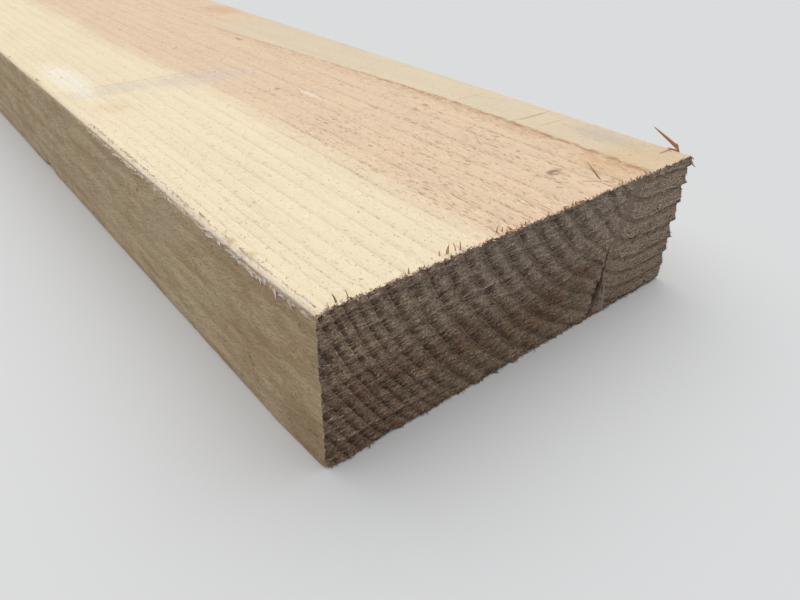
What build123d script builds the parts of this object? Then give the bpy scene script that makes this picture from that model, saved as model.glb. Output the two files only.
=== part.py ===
from build123d import *

import itertools
import math
import os

# A rough-sawn softwood plank, lying on its wider face. Millimetres, +Z up.
# The origin is the middle of the underside. +Y runs along the grain, away from the end that is split,
# and +X runs across the width, towards the side that the pith of the log is nearer to.

# Stock
length = 1800.0
width = 225.0
thickness = 72.0
arris_round = 0.9  # three arrises, only rubbed
worn_arris_round = 1.8  # the top arris on the -X side, frayed by handling

# Growth rings. The log's pith lay outside the plank, above it and just beyond the +X side. The rough cut left
# each ring as a terrace of the end: it stands out further and further towards the bark, and drops back where
# the next ring begins.
pith_beyond_side = 1.0
pith_above_top = 78.0
ring_spells = (  # (how many rings, width of each), from the pith towards the bark. The last one goes on.
    (12, 10.7),
    (9, 8.6),
    (2, 7.4),
    (10, 4.9),
)
ring_relief = 0.13  # how far a ring stands out, as a share of its width

# Where the saw wandered into the -X side as it finished the cut
wander_along = 34.0
wander_deep = 1.3

# Heart split, open to the end and to the underside
split_from_side = 59.0
split_height = 38.0
split_waist_height = 19.0
split_gape = 3.6
split_foot_gape = 1.6
split_foot_offset = 2.5  # its foot lies this much nearer the -X side
split_deep = 75.0

# Drying check beside the split, much smaller
check_from_side = 45.5
check_height = 6.5
check_waist_height = 2.5
check_gape = 0.9
check_foot_gape = 0.7
check_foot_offset = -0.8
check_deep = 18.0

# Flake torn out of the end's top corner on the +X side
flake_across = 10.5
flake_along_inside = 14.0
flake_along_side = 9.0
flake_deep = 2.6

# Hollows worn in the arrises of the -X side. Each is (distance from the split end, length, depth).
top_hollows = (
    (96.0, 46.0, 0.7),
    (205.0, 60.0, 0.5),
    (330.0, 38.0, 0.8),
)
under_hollows = ((364.0, 28.0, 2.2),)

overcut = 10.0  # how far a cutting shape reaches past the wood
root_share = 0.04  # share of a crack's gape and reach that is left at its root

near_end = -length / 2
near_side = -width / 2
far_side = width / 2


def squared_stock():
    """The stock with its four arrises rubbed round, overlong at the end that is still to be cut."""
    section = Plane.XZ * Pos(0, thickness / 2) * Rectangle(width, thickness)
    upper = section.vertices().filter_by_position(Axis.Z, thickness / 2, thickness)
    worn_corner = upper.sort_by(Axis.X)[0]
    rubbed_corners = [v for v in section.vertices() if v != worn_corner]
    section = fillet(rubbed_corners, arris_round)
    sharp_corner = section.vertices().sort_by_distance((near_side, 0, thickness))[0]
    section = fillet(sharp_corner, worn_arris_round)
    stock = extrude(section, amount=length + overcut / 2, dir=(0, 1, 0))
    return Pos(0, near_end - overcut / 2, 0) * stock


def ring_widths():
    """The rings' widths in turn, from the pith towards the bark, without an end."""
    for how_many, ring_width in ring_spells:
        yield from itertools.repeat(ring_width, how_many)
    yield from itertools.repeat(ring_spells[-1][1])


def terraced_waste():
    """What the saw took off the end: the terraces' profile along a radius, turned about the pith."""
    furthest = math.hypot(pith_beyond_side + width, pith_above_top + thickness) + overcut
    outline = [(0, near_end - overcut)]
    radius = 0.0
    for ring_width in ring_widths():
        outline.append((radius, near_end + ring_relief * ring_width))
        radius += ring_width
        outline.append((radius, near_end))
        if radius > furthest:
            break
    outline.append((radius, near_end - overcut))
    pith = (far_side + pith_beyond_side, 0, thickness + pith_above_top)
    radius_plane = Plane(pith, x_dir=(0, 0, -1), z_dir=(1, 0, 0))
    profile = make_face(radius_plane * Polyline(*outline, close=True))
    return revolve(profile, axis=Axis(pith, (0, 1, 0)))


def saw_wander_waste():
    """A thin wedge off the -X side, thickest at the end."""
    thickest = wander_deep * (wander_along + overcut) / wander_along
    outline = (
        (near_side, near_end + wander_along),
        (near_side + thickest, near_end - overcut),
        (near_side - overcut, near_end - overcut),
        (near_side - overcut, near_end + wander_along),
    )
    wedge = make_face(Polyline(*outline, close=True))
    return Pos(0, 0, -overcut) * extrude(wedge, amount=thickness + 2 * overcut)


def crack_waste(from_side, height, waist_height, gape, foot_gape, foot_offset, deep):
    """A crack that opens to the end and the underside, and closes towards its root in the wood."""
    tip = far_side - from_side
    foot = tip - foot_offset

    def outline(y, share):
        """The crack seen from the end, at a place along the plank and with that share of its size left."""
        points = (
            (tip, height * share),
            (tip + gape * share / 2, waist_height * share),
            (foot + foot_gape * share / 2, 0),
            (foot + foot_gape * share / 2, -overcut),
            (foot - foot_gape * share / 2, -overcut),
            (foot - foot_gape * share / 2, 0),
            (tip - gape * share / 2, waist_height * share),
        )
        return make_face(Plane.XZ.offset(-y) * Polyline(*points, close=True))

    mouth_share = 1 + (1 - root_share) * overcut / deep
    mouth = outline(near_end - overcut, mouth_share)
    root = outline(near_end + deep, root_share)
    return loft([mouth, root], ruled=True)


def torn_flake_waste():
    """The flake, seen from the end and from above: it is thickest at the +X side and breaks off on a slant."""
    inside = far_side - flake_across
    outside = far_side + overcut
    slope = flake_deep / flake_across
    from_the_end = (
        (inside, thickness),
        (outside, thickness - slope * (flake_across + overcut)),
        (outside, thickness + overcut),
        (inside, thickness + overcut),
    )
    shortening = (flake_along_inside - flake_along_side) / flake_across
    from_above = (
        (inside, near_end - overcut),
        (outside, near_end - overcut),
        (outside, near_end + flake_along_side - shortening * overcut),
        (inside, near_end + flake_along_inside),
    )
    across = make_face(Plane.XZ.offset(-near_end + overcut) * Polyline(*from_the_end, close=True))
    across = extrude(across, amount=2 * overcut + flake_along_inside, dir=(0, 1, 0))
    along = Pos(0, 0, thickness - overcut) * make_face(Polyline(*from_above, close=True))
    along = extrude(along, amount=2 * overcut)
    return across & along


def hollow_waste(arris_z, arris_radius, from_end, hollow_length, deep):
    """A shallow hollow across an arris of the -X side: a large cylinder laid across it at 45 degrees."""
    up = 1 if arris_z > 0 else -1
    depth_below_corner = deep + (math.sqrt(2) - 1) * arris_radius
    radius = (hollow_length**2 / 4 + depth_below_corner**2) / (2 * depth_below_corner)
    corner = Vector(near_side, near_end + from_end, arris_z)
    outwards = Vector(-1, 0, up).normalized()
    centre = corner + outwards * (radius - depth_below_corner)
    laid_across = Plane(centre, x_dir=(0, 1, 0), z_dir=(up, 0, 1))
    return laid_across * Cylinder(radius, 2 * overcut)


def sawn_plank():
    """The whole plank: the squared stock less the end cut, the cracks and what is torn or worn away."""
    plank = squared_stock() - terraced_waste() - saw_wander_waste()
    plank -= crack_waste(
        split_from_side,
        split_height,
        split_waist_height,
        split_gape,
        split_foot_gape,
        split_foot_offset,
        split_deep,
    )
    plank -= crack_waste(
        check_from_side,
        check_height,
        check_waist_height,
        check_gape,
        check_foot_gape,
        check_foot_offset,
        check_deep,
    )
    plank -= torn_flake_waste()
    for from_end, hollow_length, deep in top_hollows:
        plank -= hollow_waste(thickness, worn_arris_round, from_end, hollow_length, deep)
    for from_end, hollow_length, deep in under_hollows:
        plank -= hollow_waste(0, arris_round, from_end, hollow_length, deep)
    plank.label = "plank"
    return plank


os.makedirs("parts", exist_ok=True)
export_step(sawn_plank(), "parts/plank.step")
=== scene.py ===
"""A rough-sawn softwood plank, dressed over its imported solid.

The plank's skin is one closed mesh with the growth rings, saw marks, cracks and worn arrises in its shape.
Torn fibres and splinters are small closed meshes of their own. Sizes are in millimetres until a mesh is
made. Places on the plank are given as u, across from its -X side, v, along from its split end, and z, up
from its underside.
"""

import logging
import math
from dataclasses import dataclass, replace
from enum import Enum

import bpy
import numpy as np
from mathutils import Matrix, Vector


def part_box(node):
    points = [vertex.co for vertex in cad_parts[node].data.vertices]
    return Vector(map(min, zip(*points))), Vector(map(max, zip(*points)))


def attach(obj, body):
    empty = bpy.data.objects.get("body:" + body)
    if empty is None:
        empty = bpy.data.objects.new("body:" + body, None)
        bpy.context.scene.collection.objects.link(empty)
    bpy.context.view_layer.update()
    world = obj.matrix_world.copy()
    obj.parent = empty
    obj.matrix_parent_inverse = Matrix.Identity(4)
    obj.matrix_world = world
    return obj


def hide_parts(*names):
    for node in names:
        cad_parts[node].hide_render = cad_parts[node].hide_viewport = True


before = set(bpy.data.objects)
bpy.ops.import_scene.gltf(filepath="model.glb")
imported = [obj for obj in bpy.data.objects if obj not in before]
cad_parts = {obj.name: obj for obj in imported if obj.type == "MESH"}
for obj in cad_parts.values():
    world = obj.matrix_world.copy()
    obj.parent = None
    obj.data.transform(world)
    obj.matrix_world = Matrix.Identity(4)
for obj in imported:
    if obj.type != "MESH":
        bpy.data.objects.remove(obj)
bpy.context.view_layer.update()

METRES_PER_MM = 0.001
BODY = "root"
NODE = "plank"
GROWTH = "growth"
STREAK = "smooth_streak"
ROWS = "saw_rows"
STRIP = "strip_offset"
LATTICE_PRIMES = (374761393, 668265263, 2147483629)
MIXING_PRIMES = (1274126177, 1911520717)
SEED_PRIME = 7919
LAYER_SHARE = 0.55  # how strong each finer layer of noise is beside the last
STROKE_SLOPE = 0.03  # how much the saw's strokes rise towards the +X side
STAIN_FRAY = 0.5  # how far a pattern moves the edge of a stain, as a share of the stain's size

Array = np.ndarray
Place = tuple[float, float, float]
Faces = list[tuple[int, ...]]
Socket = bpy.types.NodeSocket
Tree = bpy.types.NodeTree
Inputs = dict[int | str, object]
Stops = tuple[tuple[float, float], ...]

log = logging.getLogger("plank")


def smooth_step(value: Array, low: float, high: float) -> Array:
    """A smooth rise from 0 at low to 1 at high.

    Args:
        value: Where to take it.
        low: Where the rise starts.
        high: Where it ends. Below low, it is a fall.

    Returns:
        The share, from 0 to 1, in the shape of value.
    """
    share = np.clip((value - low) / (high - low), 0.0, 1.0)
    return share * share * (3.0 - 2.0 * share)


def colour(code: str) -> tuple[float, float, float, float]:
    """An sRGB hex colour as linear RGBA.

    Args:
        code: Six hex digits after a hash.

    Returns:
        Linear red, green and blue from 0 to 1, and an alpha of 1.
    """
    parts = [int(code[i : i + 2], 16) / 255 for i in (1, 3, 5)]
    linear = [c / 12.92 if c <= 0.04045 else ((c + 0.055) / 1.055) ** 2.4 for c in parts]
    return (*linear, 1.0)


@dataclass(frozen=True)
class SmoothNoise:
    """Random values on a lattice, joined smoothly, the same on every run.

    A fixed number given for one of the places picks a sheet of noise of its own.
    """

    seed: int

    def _corner(self, i: Array, j: Array, k: Array) -> Array:
        """The value of one lattice point, from -1 to 1.

        Args:
            i, j, k: The point's whole-number place.

        Returns:
            One value for each place.
        """
        mixed = self.seed * SEED_PRIME + sum(a * prime for a, prime in zip((i, j, k), LATTICE_PRIMES))
        mixed = mixed.astype(np.int64) & 0xFFFFFFFF
        for prime in MIXING_PRIMES:
            mixed = ((mixed ^ (mixed >> 15)) * prime) & 0xFFFFFFFF
        return (mixed & 0xFFFF) / 0x7FFF - 1.0

    def at(self, x: Array, y: Array | float = 0.0, z: Array | float = 0.0) -> Array:
        """Smooth noise with lattice points one unit apart.

        Args:
            x, y, z: Places, already divided by the size of a patch.

        Returns:
            Values from -1 to 1.
        """
        x, y, z = np.broadcast_arrays(np.asarray(x, float), np.asarray(y, float), np.asarray(z, float))
        whole = [np.floor(a).astype(np.int64) for a in (x, y, z)]
        part = [a - w for a, w in zip((x, y, z), whole)]
        eased = [p * p * p * (p * (p * 6 - 15) + 10) for p in part]
        total = np.zeros(x.shape)
        for corner in range(8):
            offset = [(corner >> axis) & 1 for axis in range(3)]
            weight = np.ones(x.shape)
            for axis in range(3):
                weight = weight * (eased[axis] if offset[axis] else 1 - eased[axis])
            total += weight * self._corner(*(whole[axis] + offset[axis] for axis in range(3)))
        return total

    def layered(self, x: Array, y: Array | float, z: Array | float, layers: int) -> Array:
        """Noise with finer and fainter noise added to it.

        Args:
            x, y, z: Places, already divided by the size of the largest patch.
            layers: How many sizes of patch, each half the last.

        Returns:
            Values between about -1 and 1.
        """
        total, share, reach = np.zeros(np.broadcast(x, y, z).shape), 1.0, 0.0
        for layer in range(layers):
            finer = 2.0**layer
            total = total + share * self.at(*(np.multiply(place, finer) for place in (x, y, z)))
            reach += share
            share *= LAYER_SHARE
        return total / reach


@dataclass(frozen=True)
class Stock:
    """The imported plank's overall sizes and its place."""

    width: float
    length: float
    thickness: float
    left: float
    near: float

    @classmethod
    def from_frame(cls) -> "Stock":
        """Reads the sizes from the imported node's box."""
        low, high = (np.array(corner) / METRES_PER_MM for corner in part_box(NODE))
        return cls(high[0] - low[0], high[1] - low[1], high[2] - low[2], low[0], low[1])

    def to_row_frame(self, points: Array) -> Array:
        """Plank places as points of the shared frame.

        Args:
            points: Rows of u, v and z in millimetres.

        Returns:
            Rows of x, y and z in metres.
        """
        return (points + np.array([self.left, self.near, 0.0])) * METRES_PER_MM


@dataclass(frozen=True)
class GrowthRings:
    """The log's growth rings, about a pith that lies above the plank and just past its +X side."""

    pith_u: float = 226.0
    pith_z: float = 150.0
    squash: float = 1.035
    spells: tuple[tuple[int, float], ...] = ((12, 10.7), (9, 8.6), (2, 7.4), (14, 4.9))
    flattened_within: float = 66.0
    flattening: float = 2.4
    waver: float = 0.9
    waver_patch: float = 22.0
    waver_along: float = 170.0
    noise: SmoothNoise = SmoothNoise(11)

    def radius(self, u: Array, v: Array, z: Array) -> Array:
        """How far from the pith a point is, measured so that a ring keeps one radius.

        Args:
            u, v, z: Places on the plank.

        Returns:
            The radius in millimetres.
        """
        across = np.abs(self.pith_u - u)
        flatter = self.flattened_within * (across / self.flattened_within) ** self.flattening
        across = np.where(across < self.flattened_within, flatter, across)
        below = (self.pith_z - z) * self.squash
        drift = self.noise.layered(u / self.waver_patch, v / self.waver_along, z / self.waver_patch, 2)
        return np.hypot(across, below) + self.waver * drift

    def count(self, u: Array, v: Array, z: Array) -> Array:
        """How many rings lie between the pith and a point. Its fraction is the share of the ring crossed.

        Args:
            u, v, z: Places on the plank.

        Returns:
            The count, not rounded.
        """
        rings = np.cumsum([0] + [how_many for how_many, _ in self.spells])
        radii = np.cumsum([0] + [how_many * ring_width for how_many, ring_width in self.spells])
        return np.interp(self.radius(u, v, z), radii, rings)

    def ring_width(self, count: Array) -> Array:
        """How wide the ring at a count is.

        Args:
            count: Rings from the pith.

        Returns:
            The width in millimetres.
        """
        rings = np.cumsum([how_many for how_many, _ in self.spells])
        widths = np.array([ring_width for _, ring_width in self.spells])
        return widths[np.searchsorted(rings, count).clip(0, len(widths) - 1)]


@dataclass(frozen=True)
class SawMark:
    """One mark of the saw across the end: a score, or a ridge where its depth is below 0."""

    start: tuple[float, float]
    stop: tuple[float, float]
    depth: float
    half_width: float = 0.55


@dataclass(frozen=True)
class SawnEnd:
    """The rough cut across the grain: terraces of the rings, torn and scored by the saw's strokes."""

    rings: GrowthRings = GrowthRings()
    relief_share: float = 0.13
    heart_relief_share: float = 0.115
    ledge_share: float = 0.09
    heart_side: tuple[float, float] = (130.0, 178.0)
    row_height: float = 9.6
    row_depth: float = 0.8
    rows_fade: tuple[float, float] = (44.0, 72.0)
    rows_faded: float = 0.5
    scratch_depth: float = 0.30
    crumb_depth: float = 0.20
    pit_depth: float = 0.75
    streak_top: tuple[float, float] = (180.0, 72.0)
    streak_foot: tuple[float, float] = (169.5, 34.0)
    streak_half_width: float = 4.4
    streak_depth: float = 0.5
    streak_lean: float = 0.10
    marks: tuple[SawMark, ...] = (
        SawMark((0.0, 24.5), (62.0, 22.0), -0.8),
        SawMark((58.0, 15.6), (108.0, 19.4), -0.8),
        SawMark((0.0, 11.6), (52.0, 11.0), -0.5),
        SawMark((28.0, 35.0), (96.0, 38.0), -0.5),
        SawMark((70.0, 51.0), (128.0, 49.0), -0.5),
        SawMark((148.0, 44.0), (168.0, 44.4), 0.8),
        SawMark((152.0, 37.4), (166.0, 38.0), 0.8),
        SawMark((156.0, 58.2), (173.0, 58.4), 0.7),
    )
    dent: tuple[float, float, float, float] = (0.5, 50.0, 4.6, 0.9)
    noise: SmoothNoise = SmoothNoise(23)

    def stroke(self, u: Array, z: Array) -> Array:
        """Height in the saw's own strokes, which rise a little towards the +X side."""
        return z - STROKE_SLOPE * u + 0.5 * self.noise.at(u / 34.0, z / 18.0, 3.5)

    def rows(self, u: Array, z: Array) -> Array:
        """How many rows of the saw's strokes lie below a point. Each row leans out towards its foot.

        Args:
            u, z: Places on the end.

        Returns:
            The count, not rounded.
        """
        return self.stroke(u, z) / self.row_height + 0.3 * self.noise.layered(u / 30.0, z / 16.0, 21.5, 2)

    def across_streak(self, u: Array, z: Array) -> tuple[Array, Array]:
        """Where a point is beside and along the smooth streak above the heart split.

        Args:
            u, z: Places on the end.

        Returns:
            Millimetres to the +X side of its middle, and the share of the way up it.
        """
        (top_u, top_z), (foot_u, foot_z) = self.streak_top, self.streak_foot
        share = (z - foot_z) / (top_z - foot_z)
        return u - foot_u - (top_u - foot_u) * share - 1.3 * self.noise.at(z / 9.0, 0.0, 1.5), share

    def in_streak(self, u: Array, z: Array) -> Array:
        """How far a point is inside the streak.

        Args:
            u, z: Places on the end.

        Returns:
            1 inside the streak and 0 away from it.
        """
        beside, share = self.across_streak(u, z)
        half_width = self.streak_half_width * (0.5 + 0.6 * np.clip(share, 0.0, 1.0))
        across = 1.0 - smooth_step(np.abs(beside), half_width - 0.8, half_width + 0.8)
        return across * smooth_step(share, -0.3, 0.05)

    def _terraces(self, u: Array, z: Array, heart: Array) -> Array:
        """How far back the rings' terraces lie. Each stands out further and further towards the bark.

        Args:
            u, z: Places on the end.
            heart: How far each is on the heart side, from 0 to 1.

        Returns:
            The depth in millimetres.
        """
        count = self.rings.count(u, np.zeros_like(u), z)
        part = count - np.floor(count)
        share = self.relief_share + (self.heart_relief_share - self.relief_share) * heart
        share = share * (1.0 + 0.35 * self.noise.at(u / 13.0, z / 9.0, 11.5))
        return share * self.rings.ring_width(count) * (1.0 - part) * smooth_step(part, 0.0, self.ledge_share)

    def _strokes(self, u: Array, z: Array, heart: Array) -> Array:
        """How deep the saw's rows, scratches, crumbs and pits are.

        Args:
            u, z: Places on the end.
            heart: How far each is on the heart side, from 0 to 1.

        Returns:
            The depth in millimetres.
        """
        rows, stroke = self.rows(u, z), self.stroke(u, z)
        patchy = np.clip(0.7 + 0.8 * self.noise.at(u / 15.0, rows / 1.6, 18.5), 0.0, 1.3)
        faded = self.rows_faded * smooth_step(u, *self.rows_fade)
        depth = self.row_depth * (1.0 - faded) * (1.0 - 0.8 * heart) * patchy * (rows - np.floor(rows))
        depth = depth + self.scratch_depth * np.abs(self.noise.at(u / 8.0, stroke, 0.5))
        depth = depth + self.crumb_depth * np.abs(self.noise.at(u / 1.5, z / 1.5, 4.5))
        pits = smooth_step(self.noise.at(u / 2.6, stroke / 1.7, 8.5), 0.42, 0.75)
        return depth + self.pit_depth * pits * (0.35 + 0.65 * heart)

    def _scores(self, u: Array, z: Array) -> Array:
        """How deep the single marks of the saw and the dent are.

        Args:
            u, z: Places on the end.

        Returns:
            The depth in millimetres, below 0 where a ridge stands out.
        """
        dent_u, dent_z, dent_reach, dent_depth = self.dent
        depth = dent_depth * np.exp(-((np.hypot(u - dent_u, z - dent_z) / dent_reach) ** 2))
        for mark in self.marks:
            (start_u, start_z), (stop_u, stop_z) = mark.start, mark.stop
            along = (u - start_u) / (stop_u - start_u)
            line = start_z + (stop_z - start_z) * along + 0.35 * self.noise.at(u / 5.0, start_z, 6.5)
            inside = smooth_step(along, -0.05, 0.08) * (1.0 - smooth_step(along, 0.9, 1.05))
            depth = depth + mark.depth * inside * np.exp(-(((z - line) / mark.half_width) ** 2))
        return depth

    def depth(self, u: Array, z: Array) -> Array:
        """How far the end's surface lies behind the end of the box.

        Args:
            u, z: Places on the end.

        Returns:
            The depth in millimetres, below 0 only on the highest ridges.
        """
        heart = smooth_step(u, *self.heart_side)
        rough = self._terraces(u, z, heart) + self._strokes(u, z, heart)
        smooth = self.in_streak(u, z)
        leaning = self.streak_depth + self.streak_lean * self.across_streak(u, z)[0]
        return rough * (1.0 - 0.85 * smooth) + np.maximum(leaning, 0.0) * smooth + self._scores(u, z)


@dataclass(frozen=True)
class WornHollow:
    """A hollow rubbed into a long arris: where its middle is, how long and how deep it is."""

    middle: float
    length: float
    depth: float

    def widening(self, v: Array) -> Array:
        """How much more the arris is rounded at a distance from the end."""
        share = 1.0 - np.clip(np.abs(v - self.middle) / (self.length / 2), 0.0, 1.0) ** 2
        return self.depth / (math.sqrt(2.0) - 1.0) * share


@dataclass(frozen=True)
class LongFaces:
    """The four sawn faces along the grain and the arrises between them."""

    stock: Stock
    arris_round: float = 0.9
    worn_round: float = 1.8
    worn_waver: float = 1.25
    top_hollows: tuple[WornHollow, ...] = (
        WornHollow(96.0, 46.0, 0.7),
        WornHollow(205.0, 60.0, 0.5),
        WornHollow(330.0, 38.0, 0.8),
    )
    under_hollows: tuple[WornHollow, ...] = (WornHollow(364.0, 28.0, 2.2),)
    wander_along: float = 34.0
    wander_deep: float = 1.3
    face_wave: float = 0.22
    ragged_depth: float = 1.1
    # How deep each ring, counted from the pith, is bitten back at the end's +X edge
    bites: tuple[tuple[int, float], ...] = (
        (7, 0.7),
        (8, 1.2),
        (9, 2.3),
        (10, 2.5),
        (11, 4.2),
        (12, 0.8),
        (13, 2.8),
        (14, 1.0),
    )
    bitten_reach: float = 2.6
    blunted_depth: float = 0.6
    foot_blunted_depth: float = 0.8
    foot_torn_share: float = 2.5
    ragged_reach: float = 1.5
    flake_across: float = 10.5
    flake_inside: float = 14.0
    flake_side: float = 9.0
    flake_deep: float = 0.15
    blend: float = 12.0
    far_roughness: float = 0.5
    end_reach: float = 8.0  # how far along the grain the relief of an end moves the wood
    noise: SmoothNoise = SmoothNoise(37)

    def corner_rounds(self, v: Array) -> dict[tuple[int, int], Array]:
        """Each arris's radius at a distance from the end.

        Args:
            v: Distances from the split end.

        Returns:
            The radii, by (is it on the +X side, is it at the top).
        """
        even = self.arris_round * (1.0 + 0.35 * self.noise.layered(v / 9.0, 0.5, 0.0, 3))
        worn = self.worn_round + self.worn_waver * self.noise.layered(v / 9.0, 7.5, 0.0, 4)
        worn = worn + sum(hollow.widening(v) for hollow in self.top_hollows)
        under = even + sum(hollow.widening(v) for hollow in self.under_hollows)
        crisp = even * (0.35 + 0.8 * smooth_step(v, 2.0, 14.0))
        return {(0, 0): under, (0, 1): worn, (1, 0): even, (1, 1): crisp}

    def rounded(self, u: Array, v: Array, z: Array) -> tuple[Array, Array]:
        """Draws the corners of the square section in to their arcs.

        Args:
            u, v, z: Places on or inside the section.

        Returns:
            The new u and z.
        """
        u, z = u.copy(), z.copy()
        for (far_side, top), radius in self.corner_rounds(v).items():
            corner_u = self.stock.width - radius if far_side else radius
            corner_z = self.stock.thickness - radius if top else radius
            out_u = (u - corner_u) * (1 if far_side else -1)
            out_z = (z - corner_z) * (1 if top else -1)
            inside = (out_u > 0) & (out_z > 0)
            longest = np.maximum(out_u, out_z)
            pull = np.where(inside, longest / np.maximum(np.hypot(out_u, out_z), 1e-9), 1.0)
            u = np.where(inside, corner_u + (u - corner_u) * pull, u)
            z = np.where(inside, corner_z + (z - corner_z) * pull, z)
        return u, z

    def flake(self, u: Array, v: Array) -> Array:
        """How deep the torn flake is at a place on the top.

        Args:
            u, v: Places on the top.

        Returns:
            The depth in millimetres.
        """
        across = u - (self.stock.width - self.flake_across)
        edge = self.flake_inside + (self.flake_side - self.flake_inside) * across / self.flake_across
        edge = edge + 0.8 * self.noise.at(u / 1.7, 0.0, 5.5)
        broken = 1.0 - smooth_step(v, edge - 0.6, edge + 0.6)
        roughness = 1.0 + 0.2 * self.noise.at(u / 2.2, v / 5.0, 8.5)
        return self.flake_deep * np.clip(across / self.flake_across, 0.0, 1.0) * broken * roughness

    def _waved(self, u: Array, v: Array, z: Array) -> tuple[Array, Array]:
        """How the saw's wander and the waves of the four faces move points.

        Args:
            u, v, z: Places on the box.

        Returns:
            The moves across and up.
        """
        width, thickness, noise = self.stock.width, self.stock.thickness, self.noise
        near_left = 1.0 - smooth_step(u, 0.0, self.blend * 3)
        near_right = smooth_step(u, width - self.blend, width)
        near_top = smooth_step(z, thickness - self.blend, thickness)
        near_under = 1.0 - smooth_step(z, 0.0, self.blend)
        wander = self.wander_deep * np.clip(1.0 - v / self.wander_along, 0.0, 1.0)
        left = wander + self.face_wave * (1.0 + noise.layered(v / 60.0, z / 26.0, 1.5, 3))
        right = self.face_wave * (1.0 + noise.layered(v / 55.0, z / 22.0, 4.5, 3))
        top = self.flake(u, v) + 0.7 * self.face_wave * (1.0 + noise.layered(u / 24.0, v / 110.0, 2.5, 3))
        under = 0.5 * self.face_wave * (1.0 + noise.layered(u / 30.0, v / 90.0, 6.5, 2))
        return near_left * left - near_right * right, near_under * under - near_top * top

    def _torn_edges(
        self, u: Array, v: Array, z: Array, rings: GrowthRings
    ) -> tuple[Array, Array]:
        """How the torn edges and blunted corners of the split end move points.

        Args:
            u, v, z: Places on the box.
            rings: The growth rings, each of which is bitten back to its own depth.

        Returns:
            The moves across and up.
        """
        width, thickness, noise = self.stock.width, self.stock.thickness, self.noise
        whole = smooth_step(u, width - 12.0, width - 3.0) * smooth_step(z, thickness - 8.0, thickness - 2.0)
        torn = np.clip(noise.layered(u / 2.6, z / 2.6, 12.5, 3) + 0.25, 0.0, 1.0)
        torn = torn * self.ragged_depth * (1.0 - whole)
        count = rings.count(np.full_like(z, width), v, z)
        deepest = np.interp(np.floor(count), *zip(*self.bites))
        deepest = deepest * (1.0 - 0.9 * smooth_step(z, thickness - 6.0, thickness - 2.0))
        uneven = np.clip(0.7 + 0.6 * noise.layered(v / 6.0, z / 5.0, 15.5, 3), 0.2, 1.3)
        bitten = (1.0 - count + np.floor(count)) * deepest * uneven
        blunted = np.exp(-((u / 3.2) ** 2 + (v / 2.4) ** 2 + ((thickness - z) / 3.0) ** 2))
        blunted = blunted * self.blunted_depth
        foot_blunted = np.exp(-((u / 3.4) ** 2 + (v / 2.6) ** 2 + (z / 3.4) ** 2)) * self.foot_blunted_depth
        at_top = np.exp(-(v + thickness - z) / self.ragged_reach)
        at_foot = np.exp(-(v + z) / self.ragged_reach)
        at_left = np.exp(-(v + u) / self.ragged_reach)
        at_right = np.exp(-(v + width - u) / self.bitten_reach)
        across = torn * 0.6 * at_left - (0.5 * torn + bitten) * at_right + 0.7 * (blunted + foot_blunted)
        up = torn * (self.foot_torn_share * at_foot - 0.9 * at_top) - blunted + foot_blunted
        return across, up

    def place(self, points: Array, end: SawnEnd) -> Array:
        """Moves points of the true box on to the worn and sawn shape.

        Args:
            points: Rows of u, v and z on the box's surface.
            end: The sawn end's own relief.

        Returns:
            The moved rows.
        """
        u, v, z = points.T
        new_u, new_z = self.rounded(u, v, z)
        for across, up in (self._waved(u, v, z), self._torn_edges(u, v, z, end.rings)):
            new_u, new_z = new_u + across, new_z + up
        from_ends = (v, self.stock.length - v)
        near_share, far_share = (np.clip(1.0 - away / self.end_reach, 0.0, 1.0) for away in from_ends)
        far_cut = self.far_roughness * np.abs(self.noise.layered(u / 5.0, z / 2.0, 3.5, 3))
        return np.stack([new_u, v + end.depth(u, z) * near_share - far_cut * far_share, new_z], axis=1)


@dataclass(frozen=True)
class Crack:
    """A crack open to the end and to the underside, closing towards its root."""

    tip: tuple[float, float]
    neck: tuple[float, float]
    waist: tuple[float, float]
    foot: float
    neck_gape: float
    gape: float
    foot_gape: float
    deep: float
    overcut: float = 6.0
    root_share: float = 0.05
    levels: int = 26
    sections: int = 9
    waver: float = 0.35
    noise: SmoothNoise = SmoothNoise(53)

    def outline(self, share: float, v: float) -> Array:
        """The crack seen from the end, at one depth.

        Args:
            share: How much of its size is left there.
            v: Distance from the end, which sets its waver.

        Returns:
            Rows of u, v and z, up the +X wall and down the other.
        """
        (tip_u, tip_z), (neck_u, neck_z), (waist_u, waist_z) = self.tip, self.neck, self.waist
        z = np.linspace(-self.overcut, tip_z * share, self.levels)
        heights = [-self.overcut, 0.0, waist_z * share, neck_z * share, tip_z * share]
        middle = np.interp(z, heights, [self.foot, self.foot, waist_u, neck_u, tip_u])
        gape = share * np.interp(z, heights, [self.foot_gape, self.foot_gape, self.gape, self.neck_gape, 0.0])
        middle = middle + self.waver * self.noise.layered(z / 6.0, v / 16.0, 0.5, 2)
        rough = 1.0 + 0.3 * self.noise.at(z / 2.4, v / 5.0, 2.5)
        right = np.stack([middle + gape / 2 * rough, np.full_like(z, v), z], axis=1)
        left = np.stack([middle - gape / 2 / rough, np.full_like(z, v), z], axis=1)[::-1]
        return np.concatenate([right[:-1], left[:1], left[1:]])

    def build(self) -> tuple[Array, Faces]:
        """The closed shape of the crack, for cutting it out.

        Returns:
            Its points, in plank places, and its faces.
        """
        mouth_share = 1.0 + (1.0 - self.root_share) * self.overcut / self.deep
        places = np.concatenate([[-self.overcut], np.linspace(0.0, self.deep, self.sections)])
        shares = np.interp(places, [-self.overcut, self.deep], [mouth_share, self.root_share])
        outlines = [self.outline(share, v) for share, v in zip(shares, places)]
        around = len(outlines[0])
        last = around * (len(places) - 1)
        faces = [tuple(range(around)), tuple(reversed(range(last, last + around)))]
        for row in range(len(places) - 1):
            for step in range(around):
                after = (step + 1) % around
                low, high = row * around, (row + 1) * around
                faces.append((low + after, low + step, high + step, high + after))
        return np.concatenate(outlines), faces


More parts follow.
